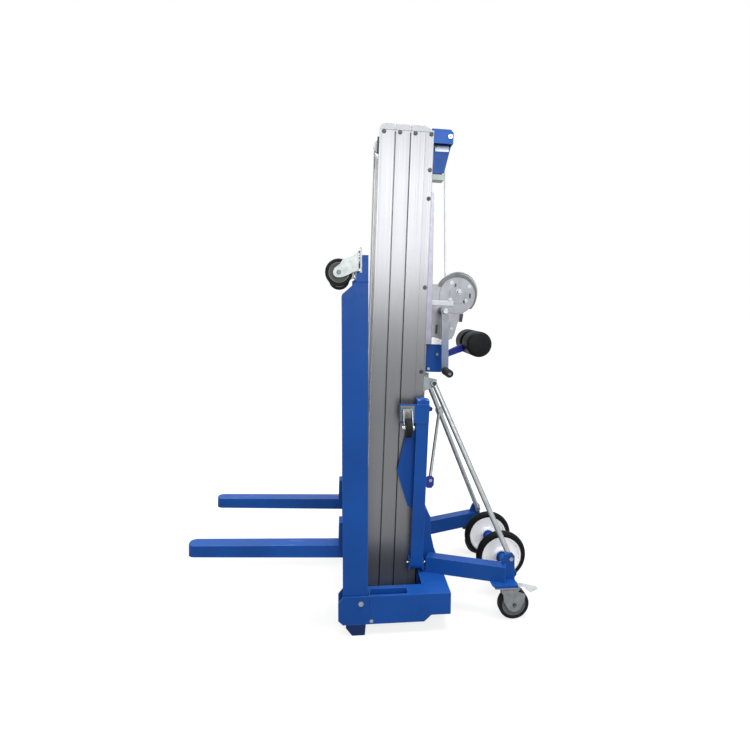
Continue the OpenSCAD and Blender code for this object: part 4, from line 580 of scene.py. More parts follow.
# Weld seams of the frame, legs and forks: beads laid one on the next along each seam,
# under the same coat of blue.
BEAD_R = 0.0026
BEAD_STEP = 0.0032
BEAD_SIZES = (0.86, 1.12)
BEAD_SEED = 7
DECK = 0.156
SHOE_SEAM_Y = 0.1475
SHOE_SEAM_X = (0.324, 0.419)
BEAM_SEAM_Y = 0.296
BEAM_SEAM_X = (0.330, 0.420)
EAR_SEAM = (0.112, 0.374)
EAR_SEAM_Z = (0.052, 0.150)
seams, given, result = tree_with("weld_seams", [
    ("Bead Radius", "NodeSocketFloat", BEAD_R), ("Bead Step", "NodeSocketFloat", BEAD_STEP),
    ("Seed", "NodeSocketInt", BEAD_SEED), ("Finish", "NodeSocketMaterial", None)])
seam_line = put(seams, "GeometryNodeMeshToCurve", {"Mesh": given["Geometry"]})
stations = put(seams, "GeometryNodeResampleCurve", {
    "Curve": seam_line.outputs["Curve"], "Length": given["Bead Step"]}, mode="LENGTH")
bead = put(seams, "GeometryNodeMeshIcoSphere", {"Radius": given["Bead Radius"], "Subdivisions": 2})
size_of_bead = put(seams, "FunctionNodeRandomValue", {
    2: BEAD_SIZES[0], 3: BEAD_SIZES[1], "Seed": given["Seed"]}, data_type="FLOAT")
laid = put(seams, "GeometryNodeInstanceOnPoints", {
    "Points": stations.outputs["Curve"], "Instance": bead.outputs["Mesh"],
    "Scale": size_of_bead.outputs[1]})
solid_seams = put(seams, "GeometryNodeRealizeInstances", {"Geometry": laid.outputs["Instances"]})
smooth_seams = put(seams, "GeometryNodeSetShadeSmooth", {"Geometry": solid_seams.outputs["Geometry"]})
finished_seams = put(seams, "GeometryNodeSetMaterial", {
    "Geometry": smooth_seams.outputs["Geometry"], "Material": given["Finish"]})
seams.links.new(finished_seams.outputs["Geometry"], result["Geometry"])
# The beads' pale edges are a painted highlight.
seam_enamel = enamel("powder_coated_weld_beads", highlight_colour=ENAMEL_BLUE_PALE, rough=0.38)


def at(x, y, z):
    """A point of the base: x runs rearward from 0.698 m ahead of the transport axle."""
    return Vector((x - CENTRE_X, y, z))


def weld(name, lines, body):
    """Lays a seam of beads along each line of (start, end) and lets it ride on its body."""
    points = [end for line in lines for end in line]
    links = [(2 * i, 2 * i + 1) for i in range(len(lines))]
    return spread(name, seams, points, links, {"Finish": seam_enamel}, body)


seam_lines = []
for side in (-1, 1):
    seam_lines += [
        [at(x, side * SHOE_SEAM_Y, DECK) for x in SHOE_SEAM_X],
        [at(x, side * BEAM_SEAM_Y, DECK) for x in BEAM_SEAM_X],
        [at(EAR_SEAM[0], side * EAR_SEAM[1], z) for z in EAR_SEAM_Z]]
weld("base_seams", seam_lines, "frame")

# Wire rope, 6 mm, six galvanised strands laid round a core, and the grooved steel sheaves
# it runs in.
ROPE_R = 0.003
ROPE_LAY = 0.042
STRANDS = 6
# on the laid rope the darker tone is painted shade in the grooves; the plain rope mottles between both
# tones
ROPE = ("#E0E3E4", "#868A8C")
SHEAVE_LOW = 0.090
SHEAVE_HIGH = 1.925
HEAD_SHEAVE = (0.241, 1.935, 0.044)
ANCHOR_TOP = 0.250
BOLTS_OUT = (0.030, 0.031)   # nearer to the middle is rope, farther out are dark bolts


def laid_rope_groove_shade(name):
    """Galvanised strands: bright ridges and painted shade in the grooves, winding along the rope."""
    made, tree, shader, place = finish_named(name)
    chart = put(tree, "ShaderNodeUVMap", uv_map="lay").outputs["UV"]
    round_it = put(tree, "ShaderNodeSeparateXYZ", {"Vector": chart}).outputs
    turn = put(tree, "ShaderNodeMath", {0: round_it["X"], 1: STRANDS * 2 * math.pi},
               operation="MULTIPLY").outputs[0]
    run = put(tree, "ShaderNodeMath", {0: round_it["Y"], 1: STRANDS * 2 * math.pi / ROPE_LAY},
              operation="MULTIPLY").outputs[0]
    phase = put(tree, "ShaderNodeMath", {0: turn, 1: run}, operation="ADD").outputs[0]
    ridge = put(tree, "ShaderNodeMath", {0: phase}, operation="SINE").outputs[0]
    share = put(tree, "ShaderNodeMapRange", {"Value": ridge, "From Min": -1.0, "From Max": 0.3})
    strand = put(tree, "ShaderNodeMix", {
        0: share.outputs["Result"], 6: linear(ROPE[1]), 7: linear(ROPE[0])}, data_type="RGBA")
    tree.links.new(strand.outputs[2], shader.inputs["Base Color"])
    bump = put(tree, "ShaderNodeBump", {"Height": ridge, "Strength": 0.5, "Distance": 0.0006})
    tree.links.new(bump.outputs["Normal"], shader.inputs["Normal"])
    shader.inputs["Metallic"].default_value = 0.9
    shader.inputs["Roughness"].default_value = 0.38
    return made


def tube(name, route, radius, made, body, sides=14):
    """A closed tube along a route, with its turn and length in metres as the map 'lay'."""
    shape = bmesh.new()
    chart = shape.loops.layers.uv.new("lay")
    tangents = [(route[min(i + 1, len(route) - 1)] - route[max(i - 1, 0)]).normalized()
                for i in range(len(route))]
    side = tangents[0].orthogonal().normalized()
    rings, lengths, run = [], [], 0.0
    for i, centre in enumerate(route):
        if i:
            run += (centre - route[i - 1]).length
        side = (side - tangents[i] * side.dot(tangents[i])).normalized()
        other = tangents[i].cross(side)
        rings.append([shape.verts.new(centre + radius * (
            side * math.cos(2 * math.pi * k / sides) + other * math.sin(2 * math.pi * k / sides)))
            for k in range(sides)])
        lengths.append(run)
    for i in range(len(route) - 1):
        for k in range(sides):
            n = (k + 1) % sides
            face = shape.faces.new([rings[i][k], rings[i][n], rings[i + 1][n], rings[i + 1][k]])
            for loop, share in zip(face.loops, (
                    (k, i), (k + 1, i), (k + 1, i + 1), (k, i + 1))):
                loop[chart].uv = (share[0] / sides, lengths[share[1]])
    for end, cap in ((0, list(reversed(rings[0]))), (-1, rings[-1])):
        face = shape.faces.new(cap)
        for loop in face.loops:
            loop[chart].uv = (0.0, lengths[end])
    return piece(name, shape, made, body)


def straight(a, b, step=0.02):
    """Points along a straight length of rope."""
    count = max(2, int((b - a).length / step))
    return [a.lerp(b, i / count) for i in range(count + 1)]


wire_rope = laid_rope_groove_shade("galvanised_wire_rope")
plain_rope = one_finish("galvanised_strands", ROPE, 0.9, 0.38, cloud=420.0)
steel_sheave = one_finish("machined_sheave_steel", ("#7C8083", "#63676A"), 1.0, 0.30)
for node in ("mid_rigging", "inner_rigging"):
    finish(node, two_metals(
        node + "_rope_and_bolts", lambda tree, place: off_centre(tree, place, *BOLTS_OUT),
        ("#CDD0D1", "#8C9092"), BOLT_BLACK, cloud=300.0))
for node in ("head_sheave", "mid_lower_sheave", "mid_upper_sheave", "inner_lower_sheave",
             "inner_upper_sheave"):
    finish(node, steel_sheave)
finish("cable_rear", plain_rope)

for node, body, joint, u, top, low in (
        ("cable_outer", "frame", "mid_slide", 0.197, HEAD_SHEAVE[1], SHEAVE_LOW),
        ("cable_mid", "mid_mast", "inner_slide", 0.093, SHEAVE_HIGH, SHEAVE_LOW),
        ("cable_inner", "inner_mast", "carriage_slide", -0.011, SHEAVE_HIGH, ANCHOR_TOP)):
    strand = tube(node + "_strands", straight(mast(u, 0, top), mast(u, 0, low)), ROPE_R,
                  wire_rope, body)
    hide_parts(node)
    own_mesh(strand)

# Glide blocks of bearing plastic, the rubber bumpers on the front section and the blocks
# of the carriage: plain moulded parts, off-white and black, smooth and slightly soft.
GLIDE = ("#DCDCD4", "#D0D0C8")
BUMPER = ("#3E4143", "#484B4D")
BUMPERS_FROM = (1.0, 1.1)
glide_white = one_finish("moulded_bearing_plastic", GLIDE, 0.0, 0.5, cloud=200.0)
finish("mid_glides", glide_white)
finish("carriage_glides", glide_white)
finish("inner_pads", two_metals(
    "glides_and_rubber_bumpers", lambda tree, place: reach(tree, place, (0, 0, 1), *BUMPERS_FROM),
    GLIDE, BUMPER, metal=(0, 0), rough=(0.5, 0.7), cloud=200.0, gloss=(0.3, 0.3)))

# Head bracket: welded blue box over the head sheave with its two inner plates, its blue paler
# as painted sheen, a bright keeper pin through it, a pale strip beneath whose colour is a
# painted highlight, and a grey-green plastic guide.
HEAD_HALF = 0.085
KEEPER_PIN = (0.293, 1.963)
KEEPER_SIZE = (0.0062, 0.0082, 0.005)
# painted highlight: the pale strip stands for the light band along the bracket's lower fold
PALE_STRIP_PAINTED_HIGHLIGHT = ("#E4ECFB", "#D6E1F6")
TIE_OUTLINE = (0.2405, 0.2985, 1.9150, 1.9385)
TIE_Y = (0.0295, 0.0335)
HEAD_SEAM = 0.2185
HEAD_SEAM_RUNS = ((1.938, 1.956), (1.968, 1.986))
# Painted sheen: the bracket's blue is paler than the base's.
finish("head_bracket", enamel("paler_head_bracket_coat_painted_sheen", "#2C5AAA", "#3865B6"))
finish("head_guide", one_finish("moulded_rope_guide", ("#C2CEC5", "#B2BFB5"), 0.0, 0.5, cloud=160.0))
pin_steel = one_finish("polished_pin_steel", ("#EEF1F3", "#E2E6E8"), 1.0, 0.22)
screwed("keeper_pin_heads", [(mast(KEEPER_PIN[0], side * HEAD_HALF, KEEPER_PIN[1]), (0, side, 0))
                             for side in (-1, 1)], KEEPER_SIZE, pin_steel, "frame", sides=ROUND)
# Painted highlight: the strip's near-white blue is the light band, not a plating.
strip_painted_highlight = one_finish("pale_strip_painted_highlight", PALE_STRIP_PAINTED_HIGHLIGHT, 0.2, 0.32)
plates("head_pale_strips_painted_highlight", [box_outline(*TIE_OUTLINE)], *TIE_Y, strip_painted_highlight, "frame", "zinc_steel")
weld("head_bracket_seams", [
    [mast(HEAD_SEAM, side * HEAD_HALF, w) for w in run]
    for side in (-1, 1) for run in HEAD_SEAM_RUNS], "frame")

# Winch: pressed and plated side plates either side of a geared drum, with a crank on the
# near side. The near plate carries the drawn cover of the gear, an embossed band, slots
# and hex bolts.
WINCH_GREY = ("#808286", "#74767B")
SLOT_PAINTED_SHADOW = ("#3A3C40", "#46484C")
NEAR = (0, -1, 0)
NEAR_PLATE = -0.062
SUNK = 0.0005                # how far a form reaches into its neighbour
DRUM = (0.364, 1.337)
CRANK = (0.292, 1.2539)
CRANK_HUB_Y = -0.157
# Painted reflection: below this height the arm is blue-grey, standing for the blue box mirrored in it;
# above it is plain grey.
CRANK_BOX_REFLECTION = (1.110, 1.175)     # the arm is blue-grey below and grey above
RIM = (0.354, 1.324)
RIM_R = 0.0885
RIM_ARC = (-42, 158)
RIM_Y = (NEAR_PLATE - 0.0012, NEAR_PLATE + 0.0030)
COVER = (0.3575, 1.3205)
COVER_R = 0.0770
COVER_ARC = (-45, 155)
COVER_RISE = 0.0016
COVER_FACE = NEAR_PLATE - COVER_RISE
NUT_SEAT = COVER_FACE - 0.0016
COVER_PROFILE = (
    (COVER_R, 0.0), (COVER_R - 0.0008, COVER_RISE), (0.0360, COVER_RISE), (0.0345, COVER_RISE + 0.0008),
    (0.0008, COVER_RISE + 0.0008), (0.0008, -0.0020), (COVER_R, -0.0020))
BAND = (0.2405, 0.3440, 1.2750, 1.2965)
BAND_RISE = 0.0042
RIB_OUTLINE = ((0.318, 1.158), (0.332, 1.158), (0.352, 1.206), (0.346, 1.212), (0.334, 1.212))
RIB_OUT = 0.0016
RAIL_OUTLINE = ((0.2165, 1.115), (0.2440, 1.115), (0.2365, 1.400), (0.2270, 1.722), (0.2165, 1.728))
RAIL_Y = (0.1150, 0.1385)
COVER_SLOTS = ((0.4120, 1.3210, 0.020), (0.3878, 1.2955, 0.014), (0.3480, 1.3640, 0.013))
SLOT_HALF = 0.003
SLOT_OVER = 0.0024           # over the cover's face, so that the slot shows on it
PLATE_SLOTS = (((0.370, 1.209), (0.384, 1.209), (0.388, 1.243), (0.372, 1.243)),
               ((0.270, 1.156), (0.280, 1.156), (0.280, 1.194), (0.270, 1.194)))
PLATE_SLOT_OUT = 0.0012
PLATE_BOLTS = ((0.243, 1.345), (0.243, 1.165), (0.338, 1.180))
PLATE_BOLT_SIZE = (0.0060, 0.0080, 0.0050)
COVER_BOLT_R = 0.049
COVER_BOLT_TURNS = (0.5, 2.3, 3.9, 5.4)
COVER_BOLT_SIZE = (0.0060, 0.0080, 0.0045)
SHAFT_NUT = ((0.0005, 0.0), (0.014, 0.0), (0.014, 0.003), (0.010, 0.003), (0.010, 0.009),
             (0.008, 0.011), (0.0005, 0.011))
HUB_NUT = ((0.0005, 0.0), (0.013, 0.0), (0.013, 0.008), (0.011, 0.010), (0.0005, 0.010))
winch_steel = one_finish("pressed_winch_steel", WINCH_GREY, 0.75, 0.42, cloud=26.0, grain=0.03)
gear_steel = one_finish("cut_gear_steel", ("#3A3D41", "#2C2E31"), 1.0, 0.36)
grip_rubber = one_finish("ribbed_grip_rubber", ("#1B1C1E", "#242528"), 0.0, 0.7, cloud=240.0, gloss=0.2)
# Painted shade: the dark crescent rim stands for the shadow round the gear cover.
rim_painted_shade = one_finish("shaded_cover_rim", ("#54575A", "#474A4D"), 0.75, 0.40, cloud=40.0)
# The embossed band is coloured lighter than the plate.
band_steel = one_finish("lighter_embossed_band", ("#A0A2A6", "#94969B"), 0.5, 0.38, cloud=40.0)
rail_aluminium = one_finish(
    "folded_rail_aluminium", ("#7C7C86", "#6E6E79"), 0.8, 0.36, cloud=30.0, grain=0.03)
slot_shadow = one_finish("shadow_in_punched_slots", SLOT_PAINTED_SHADOW, 0.0, 0.6, gloss=0.2)
finish("winch_frame", winch_steel)
finish("winch_drum", gear_steel)
# The blue-grey lower part of the crank is a painted reflection of the blue box.
finish("winch_crank", two_metals(
    "plated_crank_steel_painted_reflection", lambda tree, place: reach(tree, place, UP, *CRANK_BOX_REFLECTION),
    ("#667084", "#596377"), ("#74777D", "#696C72"), metal=(0.8, 0.8), rough=(0.36, 0.40), cloud=40.0))
finish("crank_grip", grip_rubber)


def arc(centre, radius, start, end, steps=44):
    """Points round a centre, from one angle to another in degrees."""
    turns = [math.radians(start + (end - start) * i / steps) for i in range(steps + 1)]
    return [(centre[0] + radius * math.cos(a), centre[1] + radius * math.sin(a)) for a in turns]


def turned(shape, profile, centre, axis, steps):
    """Adds a body turned on a lathe; profile is a closed outline of (radius, place along the axis)."""
    axis = Vector(axis).normalized()
    side = axis.orthogonal().normalized()
    other = axis.cross(side)
    rings = []
    for i in range(steps):
        a = 2 * math.pi * i / steps
        out = side * math.cos(a) + other * math.sin(a)
        rings.append([shape.verts.new(centre + out * r + axis * t) for r, t in profile])
    n = len(profile)
    for i in range(steps):
        here, there = rings[i], rings[(i + 1) % steps]
        for k in range(n):
            shape.faces.new([here[k], there[k], there[(k + 1) % n], here[(k + 1) % n]])


def lathed(name, profile, spots, steps, made, body, crease=35.0):
    """A piece of one turned profile at each (centre, axis)."""
    shape = bmesh.new()
    for centre, axis in spots:
        turned(shape, profile, centre, axis, steps)
    return piece(name, shape, made, body, crease)


# The crescent's dark grey is painted shade.
crescent = arc(RIM, RIM_R, *RIM_ARC) + arc(COVER, COVER_R - SUNK, *COVER_ARC)[::-1]
plates("gear_cover_rim", [crescent], *RIM_Y, rim_painted_shade, "frame", "grey_paint", sides=(1,))
lathed("gear_cover", COVER_PROFILE, [(mast(COVER[0], NEAR_PLATE, COVER[1]), NEAR)], 72, winch_steel,
       "frame", crease=12.0)
plates("winch_embossed_band", [box_outline(*BAND)], NEAR_PLATE - BAND_RISE, NEAR_PLATE + SUNK,
       band_steel, "frame", "grey_paint", soften=0.0012, sides=(1,))
plates("winch_pressed_rib", [RIB_OUTLINE], NEAR_PLATE - RIB_OUT, NEAR_PLATE + SUNK, winch_steel,
       "frame", "grey_paint", sides=(1,))
plates("winch_mounting_rail", [RAIL_OUTLINE], *RAIL_Y, rail_aluminium, "frame", "mast_aluminium",
       soften=0.0010)
# The slots are dark plates laid over the face; their dark grey is painted shadow for the hollow of each
# slot.
slots = bmesh.new()
for u, w, length in COVER_SLOTS:
    prism(slots, box_outline(u - SLOT_HALF, u + SLOT_HALF, w - length / 2, w + length / 2),
          COVER_FACE - SLOT_OVER, NEAR_PLATE + SUNK)
for outline in PLATE_SLOTS:
    prism(slots, outline, NEAR_PLATE - PLATE_SLOT_OUT, NEAR_PLATE + SUNK)
piece("winch_plate_slots", slots, slot_shadow, "frame")

screwed("winch_bolts_plate", [(mast(u, NEAR_PLATE, w), NEAR) for u, w in PLATE_BOLTS],
        PLATE_BOLT_SIZE, zinc, "frame")
screwed("winch_bolts_cover", [
    (mast(DRUM[0] + COVER_BOLT_R * math.cos(a), COVER_FACE, DRUM[1] + COVER_BOLT_R * math.sin(a)), NEAR)
    for a in COVER_BOLT_TURNS], COVER_BOLT_SIZE, zinc, "frame")
lathed("drum_shaft_nut", SHAFT_NUT, [(mast(DRUM[0], NUT_SEAT, DRUM[1]), NEAR)], HEX, zinc,
       "frame")
lathed("crank_hub_nut", HUB_NUT, [(mast(CRANK[0], CRANK_HUB_Y, CRANK[1]), NEAR)], HEX, zinc,
       "crank")

# Grip: a black rubber sleeve on the crank's handle, moulded with ribs round it; a rib is
# given by its rise and its place along the grip.
GRIP_R = 0.015
GRIP_IN = 0.001
RIB_STEP = 0.0085
RIB_COUNT = 11
RIB_PROFILE = ((0.0, 0.004), (0.0013, 0.006), (0.0013, 0.0095), (0.0, 0.0115))
grip_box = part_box("crank_grip")
grip_mid = (grip_box[0] + grip_box[1]) / 2
ribs = [(GRIP_R + rise, along + i * RIB_STEP) for i in range(RIB_COUNT) for rise, along in RIB_PROFILE]
ribs = [(GRIP_R - GRIP_IN, ribs[0][1])] + ribs + [(GRIP_R - GRIP_IN, ribs[-1][1])]
lathed("grip_ribs", ribs, [(Vector((grip_mid.x, grip_box[1].y, grip_mid.z)), NEAR)], 32, grip_rubber,
       "grip")

# Rope wound on the drum in nine turns, running straight on for two rings at each end so
# that the ends close square; it leaves the drum in line with the head sheave.
WIND_R = 0.0463
WIND_PITCH = 0.0066
WIND_TURNS = 9
RINGS_A_TURN = 48
last_ring = WIND_TURNS * RINGS_A_TURN
head_u, head_w, head_r = HEAD_SHEAVE
run_u, run_w = DRUM[0] - head_u, DRUM[1] - head_w
run_angle = math.atan2(run_u, -run_w) - math.asin((head_r + WIND_R) / math.hypot(run_u, run_w))
wound = []
for i in range(-2, last_ring + 3):
    inside = min(max(i, 0), last_ring)
    a = 2 * math.pi * inside / RINGS_A_TURN
    past = (i - inside) * ROPE_R
    out = -math.cos(a) * WIND_R + math.sin(a) * past
    rise = math.sin(a) * WIND_R + math.cos(a) * past
    u = out * math.cos(run_angle) - rise * math.sin(run_angle)
    w = out * math.sin(run_angle) + rise * math.cos(run_angle)
    y = WIND_PITCH * (WIND_TURNS / 2 - inside / RINGS_A_TURN)
    wound.append(mast(DRUM[0] + u, y, DRUM[1] + w))
winding = tube("drum_rope_strands", wound, ROPE_R, wire_rope, "drum", sides=12)
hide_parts("drum_rope")

# Blue box on the back of the mast with a white moulded plug in its top, and the navy arm
# that carries the black rubber loading roller on its axle.
BOX_TOP = 1.110
LID = BOX_TOP + MAST_FOOT * math.sin(MAST_LEAN)
PLUG_CLEAR = 0.0002          # the white starts this far above the lid
PLUG_OUTLINE = ((0.228, 1.1105), (0.300, 1.1105), (0.298, 1.124), (0.288, 1.135), (0.264, 1.140),
                (0.240, 1.135), (0.230, 1.124))
PLUG_Y = (0.0600, 0.0662)
ROLLER = (0.451, 1.119)
ROLLER_HALF = 0.118
ROLLER_END = ((0.0006, -0.001), (0.0465, -0.001), (0.0455, 0.0010), (0.0380, 0.0034), (0.0240, 0.0050),
              (0.0006, 0.0056))
RUBBER = ("#121315", "#1B1D20")
finish("handle_bracket", enamel(
    "blue_box_and_white_plug", rough=0.36,
    bare_of=lambda tree, place: reach(tree, place, UP, LID, LID + PLUG_CLEAR),
    bare=("#FFFFFF", "#F6F7F9"), bare_metal=0.0))
plug_white = one_finish(
    "moulded_white_plug", ("#FFFFFF", "#FCFCFD"), 0.0, 0.3, cloud=30.0, grain=0.02, gloss=1.0)
plates("white_plug_rim", [PLUG_OUTLINE], *PLUG_Y, plug_white, "frame", "glide_plastic", soften=0.0012)
finish("roller_arm", enamel("powder_coated_arm", "#1C2C86", "#223597", rough=0.36))
roller_rubber = one_finish("moulded_roller_rubber", RUBBER, 0.0, 0.5, cloud=150.0, gloss=0.08)
finish("loading_roller", roller_rubber)
lathed("roller_domed_ends", ROLLER_END, [
    (mast(ROLLER[0], side * ROLLER_HALF, ROLLER[1]), (0, side, 0)) for side in (-1, 1)], 56,
    roller_rubber, "roller")

# Carriage and forks: welded square tube and folded fork blades in the same blue powder
# coat. The fork tops are rubbed by loads, so bare steel shows through in streaks; black
# moulded plugs close the open ends of the two cross bars.
BAR_FRONT = -0.078
BAR_REAR = -0.028
BAR_END = 0.297
BARS = ((0.2755, 0.3255), (0.377, 0.417))
FORK_IN = 0.226
FORK_OUT = 0.295
FORK_BARE = "#98A3B4"
RUB_DRIFT_SIZE = 1 / 6
RUB_STREAKS = (9.0, 130.0, 60.0)         # to the metre, along, across and through a fork
BAR_WALL = 0.0036
PLUG_ENDS = (BAR_END - 0.010, BAR_END + 0.0014)
FORK_SEAMS = ((0.381, 0.413), (0.279, 0.3235))
FORK_TOP_SEAM = 0.417
POST_SEAM_Y = 0.132
POST_SEAMS = ((0.281, 0.321), (0.381, 0.413))
finish("carriage_frame", blue_enamel)


def rubbed_enamel(name):
    """Powder coat worn through in streaks along the upper face of a fork."""
    made, tree, shader, place = finish_named(name)
    drift = put(tree, "ShaderNodeTexNoise", {
        "Vector": place, "Scale": 1 / RUB_DRIFT_SIZE, "Detail": 3.0}).outputs["Fac"]
    tone = put(tree, "ShaderNodeMapRange", {"Value": drift, "From Min": 0.35, "From Max": 0.7})
    body = put(tree, "ShaderNodeMix", {
        0: tone.outputs["Result"], 6: linear(ENAMEL_BLUE), 7: linear(ENAMEL_BLUE_PALE)},
        data_type="RGBA").outputs[2]
    drawn_out = put(tree, "ShaderNodeMapping", {"Vector": place, "Scale": RUB_STREAKS})
    streaks = put(tree, "ShaderNodeTexNoise", {
        "Vector": drawn_out.outputs["Vector"], "Scale": 1.0, "Detail": 5.0}).outputs["Fac"]
    facing = put(tree, "ShaderNodeVectorMath", {
        0: put(tree, "ShaderNodeNewGeometry").outputs["True Normal"], 1: UP}, operation="DOT_PRODUCT")
    upper = put(tree, "ShaderNodeMapRange", {
        "Value": facing.outputs["Value"], "From Min": 0.8, "From Max": 0.95}).outputs["Result"]
    rubbed = put(tree, "ShaderNodeMapRange", {
        "Value": streaks, "From Min": 0.62, "From Max": 0.74, "To Min": 0.0, "To Max": 0.6})
    wear_and_painted_shine = put(tree, "ShaderNodeMath", {0: rubbed.outputs["Result"], 1: upper},
               operation="MULTIPLY").outputs[0]
    # Painted highlight along the fork's edges.
    rim = put(tree, "ShaderNodeMath", {0: edges(tree, EDGE_HIGHLIGHT_WIDTH), 1: 0.6},
              operation="MULTIPLY").outputs[0]
    coat = put(tree, "ShaderNodeMix", {0: rim, 6: body, 7: linear(ENAMEL_EDGE_HIGHLIGHT)},
               data_type="RGBA").outputs[2]
    skin = put(tree, "ShaderNodeMix", {0: wear_and_painted_shine, 6: coat, 7: linear(FORK_BARE)},
               data_type="RGBA").outputs[2]
    tree.links.new(skin, shader.inputs["Base Color"])
    tree.links.new(wear_and_painted_shine, shader.inputs["Metallic"])
    gloss = put(tree, "ShaderNodeMapRange", {
        "Value": drift, "From Min": 0.3, "From Max": 0.7, "To Min": 0.34, "To Max": 0.46})
    tree.links.new(gloss.outputs["Result"], shader.inputs["Roughness"])
    shader.inputs["Specular IOR Level"].default_value = ENAMEL_GLOSS
    return made


fork_enamel = rubbed_enamel("rubbed_fork_powder_coat")
finish("fork_near", fork_enamel)
finish("fork_far", fork_enamel)
plug_black = one_finish("moulded_end_plugs", ("#1D1F22", "#272A2E"), 0.0, 0.5, cloud=180.0, gloss=0.2)
plates("cross_bar_plugs", [
    box_outline(BAR_FRONT + BAR_WALL, BAR_REAR - BAR_WALL, low + BAR_WALL, high - BAR_WALL)
    for low, high in BARS], *PLUG_ENDS, plug_black, "carriage", "black_grip", soften=0.0010)
seam_lines = []
for side in (-1, 1):
    seam_lines += [[mast(BAR_FRONT, side * y, w) for w in run]
                   for y in (FORK_IN, FORK_OUT) for run in FORK_SEAMS]
    seam_lines += [[mast(BAR_FRONT, side * y, FORK_TOP_SEAM) for y in (FORK_IN + 0.003, FORK_OUT - 0.003)]]
    seam_lines += [[mast(BAR_REAR, side * POST_SEAM_Y, w) for w in run] for run in POST_SEAMS]
weld("carriage_seams", seam_lines, "carriage")

# Front legs: folded blue tubes standing upright on their hinge bolts, with a zinc caster
# plate, fork and wheel at the top of each. The wheels have grey moulded cores.
LEG_Y = 0.335
LEG_HALF = 0.031
LEG_PLATE_FRONT = 0.073
LEG_PLATE_REAR = 0.0795
LEG_PLATE = (1.3848, 1.475)
LEG_BOLT_Y = 0.025
LEG_BOLT_IN = 0.009
LEG_BOLT_SIZE = (0.0058, 0.0078, 0.0050)
FRONT_ZINC = ("#7E8282", "#6C7070")
NECK_FOOT = 1.352
NECK_FRONT = 0.0590
NECK_REAR = 0.102
ACROSS = (0, 1, 0)
FRONT_WHEEL = (-0.004, 1.386)
FRONT_WHEEL_RIM = 0.0378
FRONT_RINGS = (0.012, 0.0374, 0.0158)    # place of the face, radius of rim and of hub
FRONT_FORK_FACE = 0.021
CHEEK_THICK = 0.0014
CASTER_NUT = (0.0066, 0.0086, 0.0055)
FRONT_CHEEK = ((-0.022, 0.0), (-0.0165, 0.0145), (0.004, 0.0310), (0.013, 0.0455), (0.050, 0.0590),
               (0.0695, 0.0720), (0.0700, 0.0090), (0.048, -0.0020), (0.022, -0.0150), (0.004, -0.0195),
               (-0.011, -0.0180), (-0.0195, -0.0100))


def leg_plate(tree, place):
    """The uncoated zinc caster plate and kingpin ahead of the leg's neck."""
    ahead = reach(tree, place, (-1, 0, 0), CENTRE_X - LEG_PLATE_REAR, CENTRE_X - LEG_PLATE_REAR + 0.0002)
    high = reach(tree, place, (0, 0, 1), LEG_PLATE[0] - 0.0002, LEG_PLATE[0])
    return put(tree, "ShaderNodeMath", {0: ahead, 1: high}, operation="MULTIPLY").outputs[0]


def from_line(tree, place, centre, axis):
    """Distance of the surface from a turning axis."""
    apart = put(tree, "ShaderNodeVectorMath", {0: place, 1: tuple(centre)}, operation="SUBTRACT")
    crossed = put(tree, "ShaderNodeVectorMath", {0: apart.outputs[0], 1: tuple(axis)},
                  operation="CROSS_PRODUCT")
    return put(tree, "ShaderNodeVectorMath", {0: crossed.outputs[0]}, operation="LENGTH").outputs["Value"]


def wheel_finish(name, centre, axis, rim, core, tyre=RUBBER, core_rough=0.45, core_gloss=0.12):
    """A wheel in one piece to look at: moulded core inside the rim, rubber tyre outside it."""
    def outside_rim(tree, place):
        return put(tree, "ShaderNodeMapRange", {
            "Value": from_line(tree, place, centre, axis),
            "From Min": rim - 0.0002, "From Max": rim + 0.0002}).outputs["Result"]
    return two_metals(name, outside_rim, core, tyre, metal=(0.0, 0.0), rough=(core_rough, 0.66),
                      cloud=150.0, gloss=(core_gloss, 0.12))


def wheel_trim(name, centre, axis, face, rim, hub, made, body):
    """Raised rim and hub rings on both faces of a moulded wheel core."""
    shape = bmesh.new()
    axis = Vector(axis)
    for side in (-1, 1):
        for inner, outer, rise in ((rim - 0.0030, rim, 0.0012), (hub - 0.0022, hub, 0.0016)):
            turned(shape, [
                (inner, -0.0004), (inner + 0.0004, rise), (outer - 0.0004, rise), (outer, -0.0004)],
                centre + axis * side * face, axis * side, steps=48)
    return piece(name, shape, made, body)


def cheeks(name, outline, hub, face, made, body):
    """Pressed cheek plates on both legs of a caster fork; outline is given from the wheel's axle."""
    shape = bmesh.new()
    for side in (-1, 1):
        prism(shape, [(hub.x + x, hub.z + z) for x, z in outline], hub.y + side * (face - 0.0004),
              hub.y + side * (face + CHEEK_THICK), place=lambda x, y, z: Vector((x, y, z)))
    return piece(name, shape, made, body)


def axle_nuts(name, hub, axis, face, size, made, body):
    """A nut on its washer at both ends of a caster's axle."""
    ends = [(hub + Vector(axis) * way * face, Vector(axis) * way) for way in (-1, 1)]
    return screwed(name, ends, size, made, body)


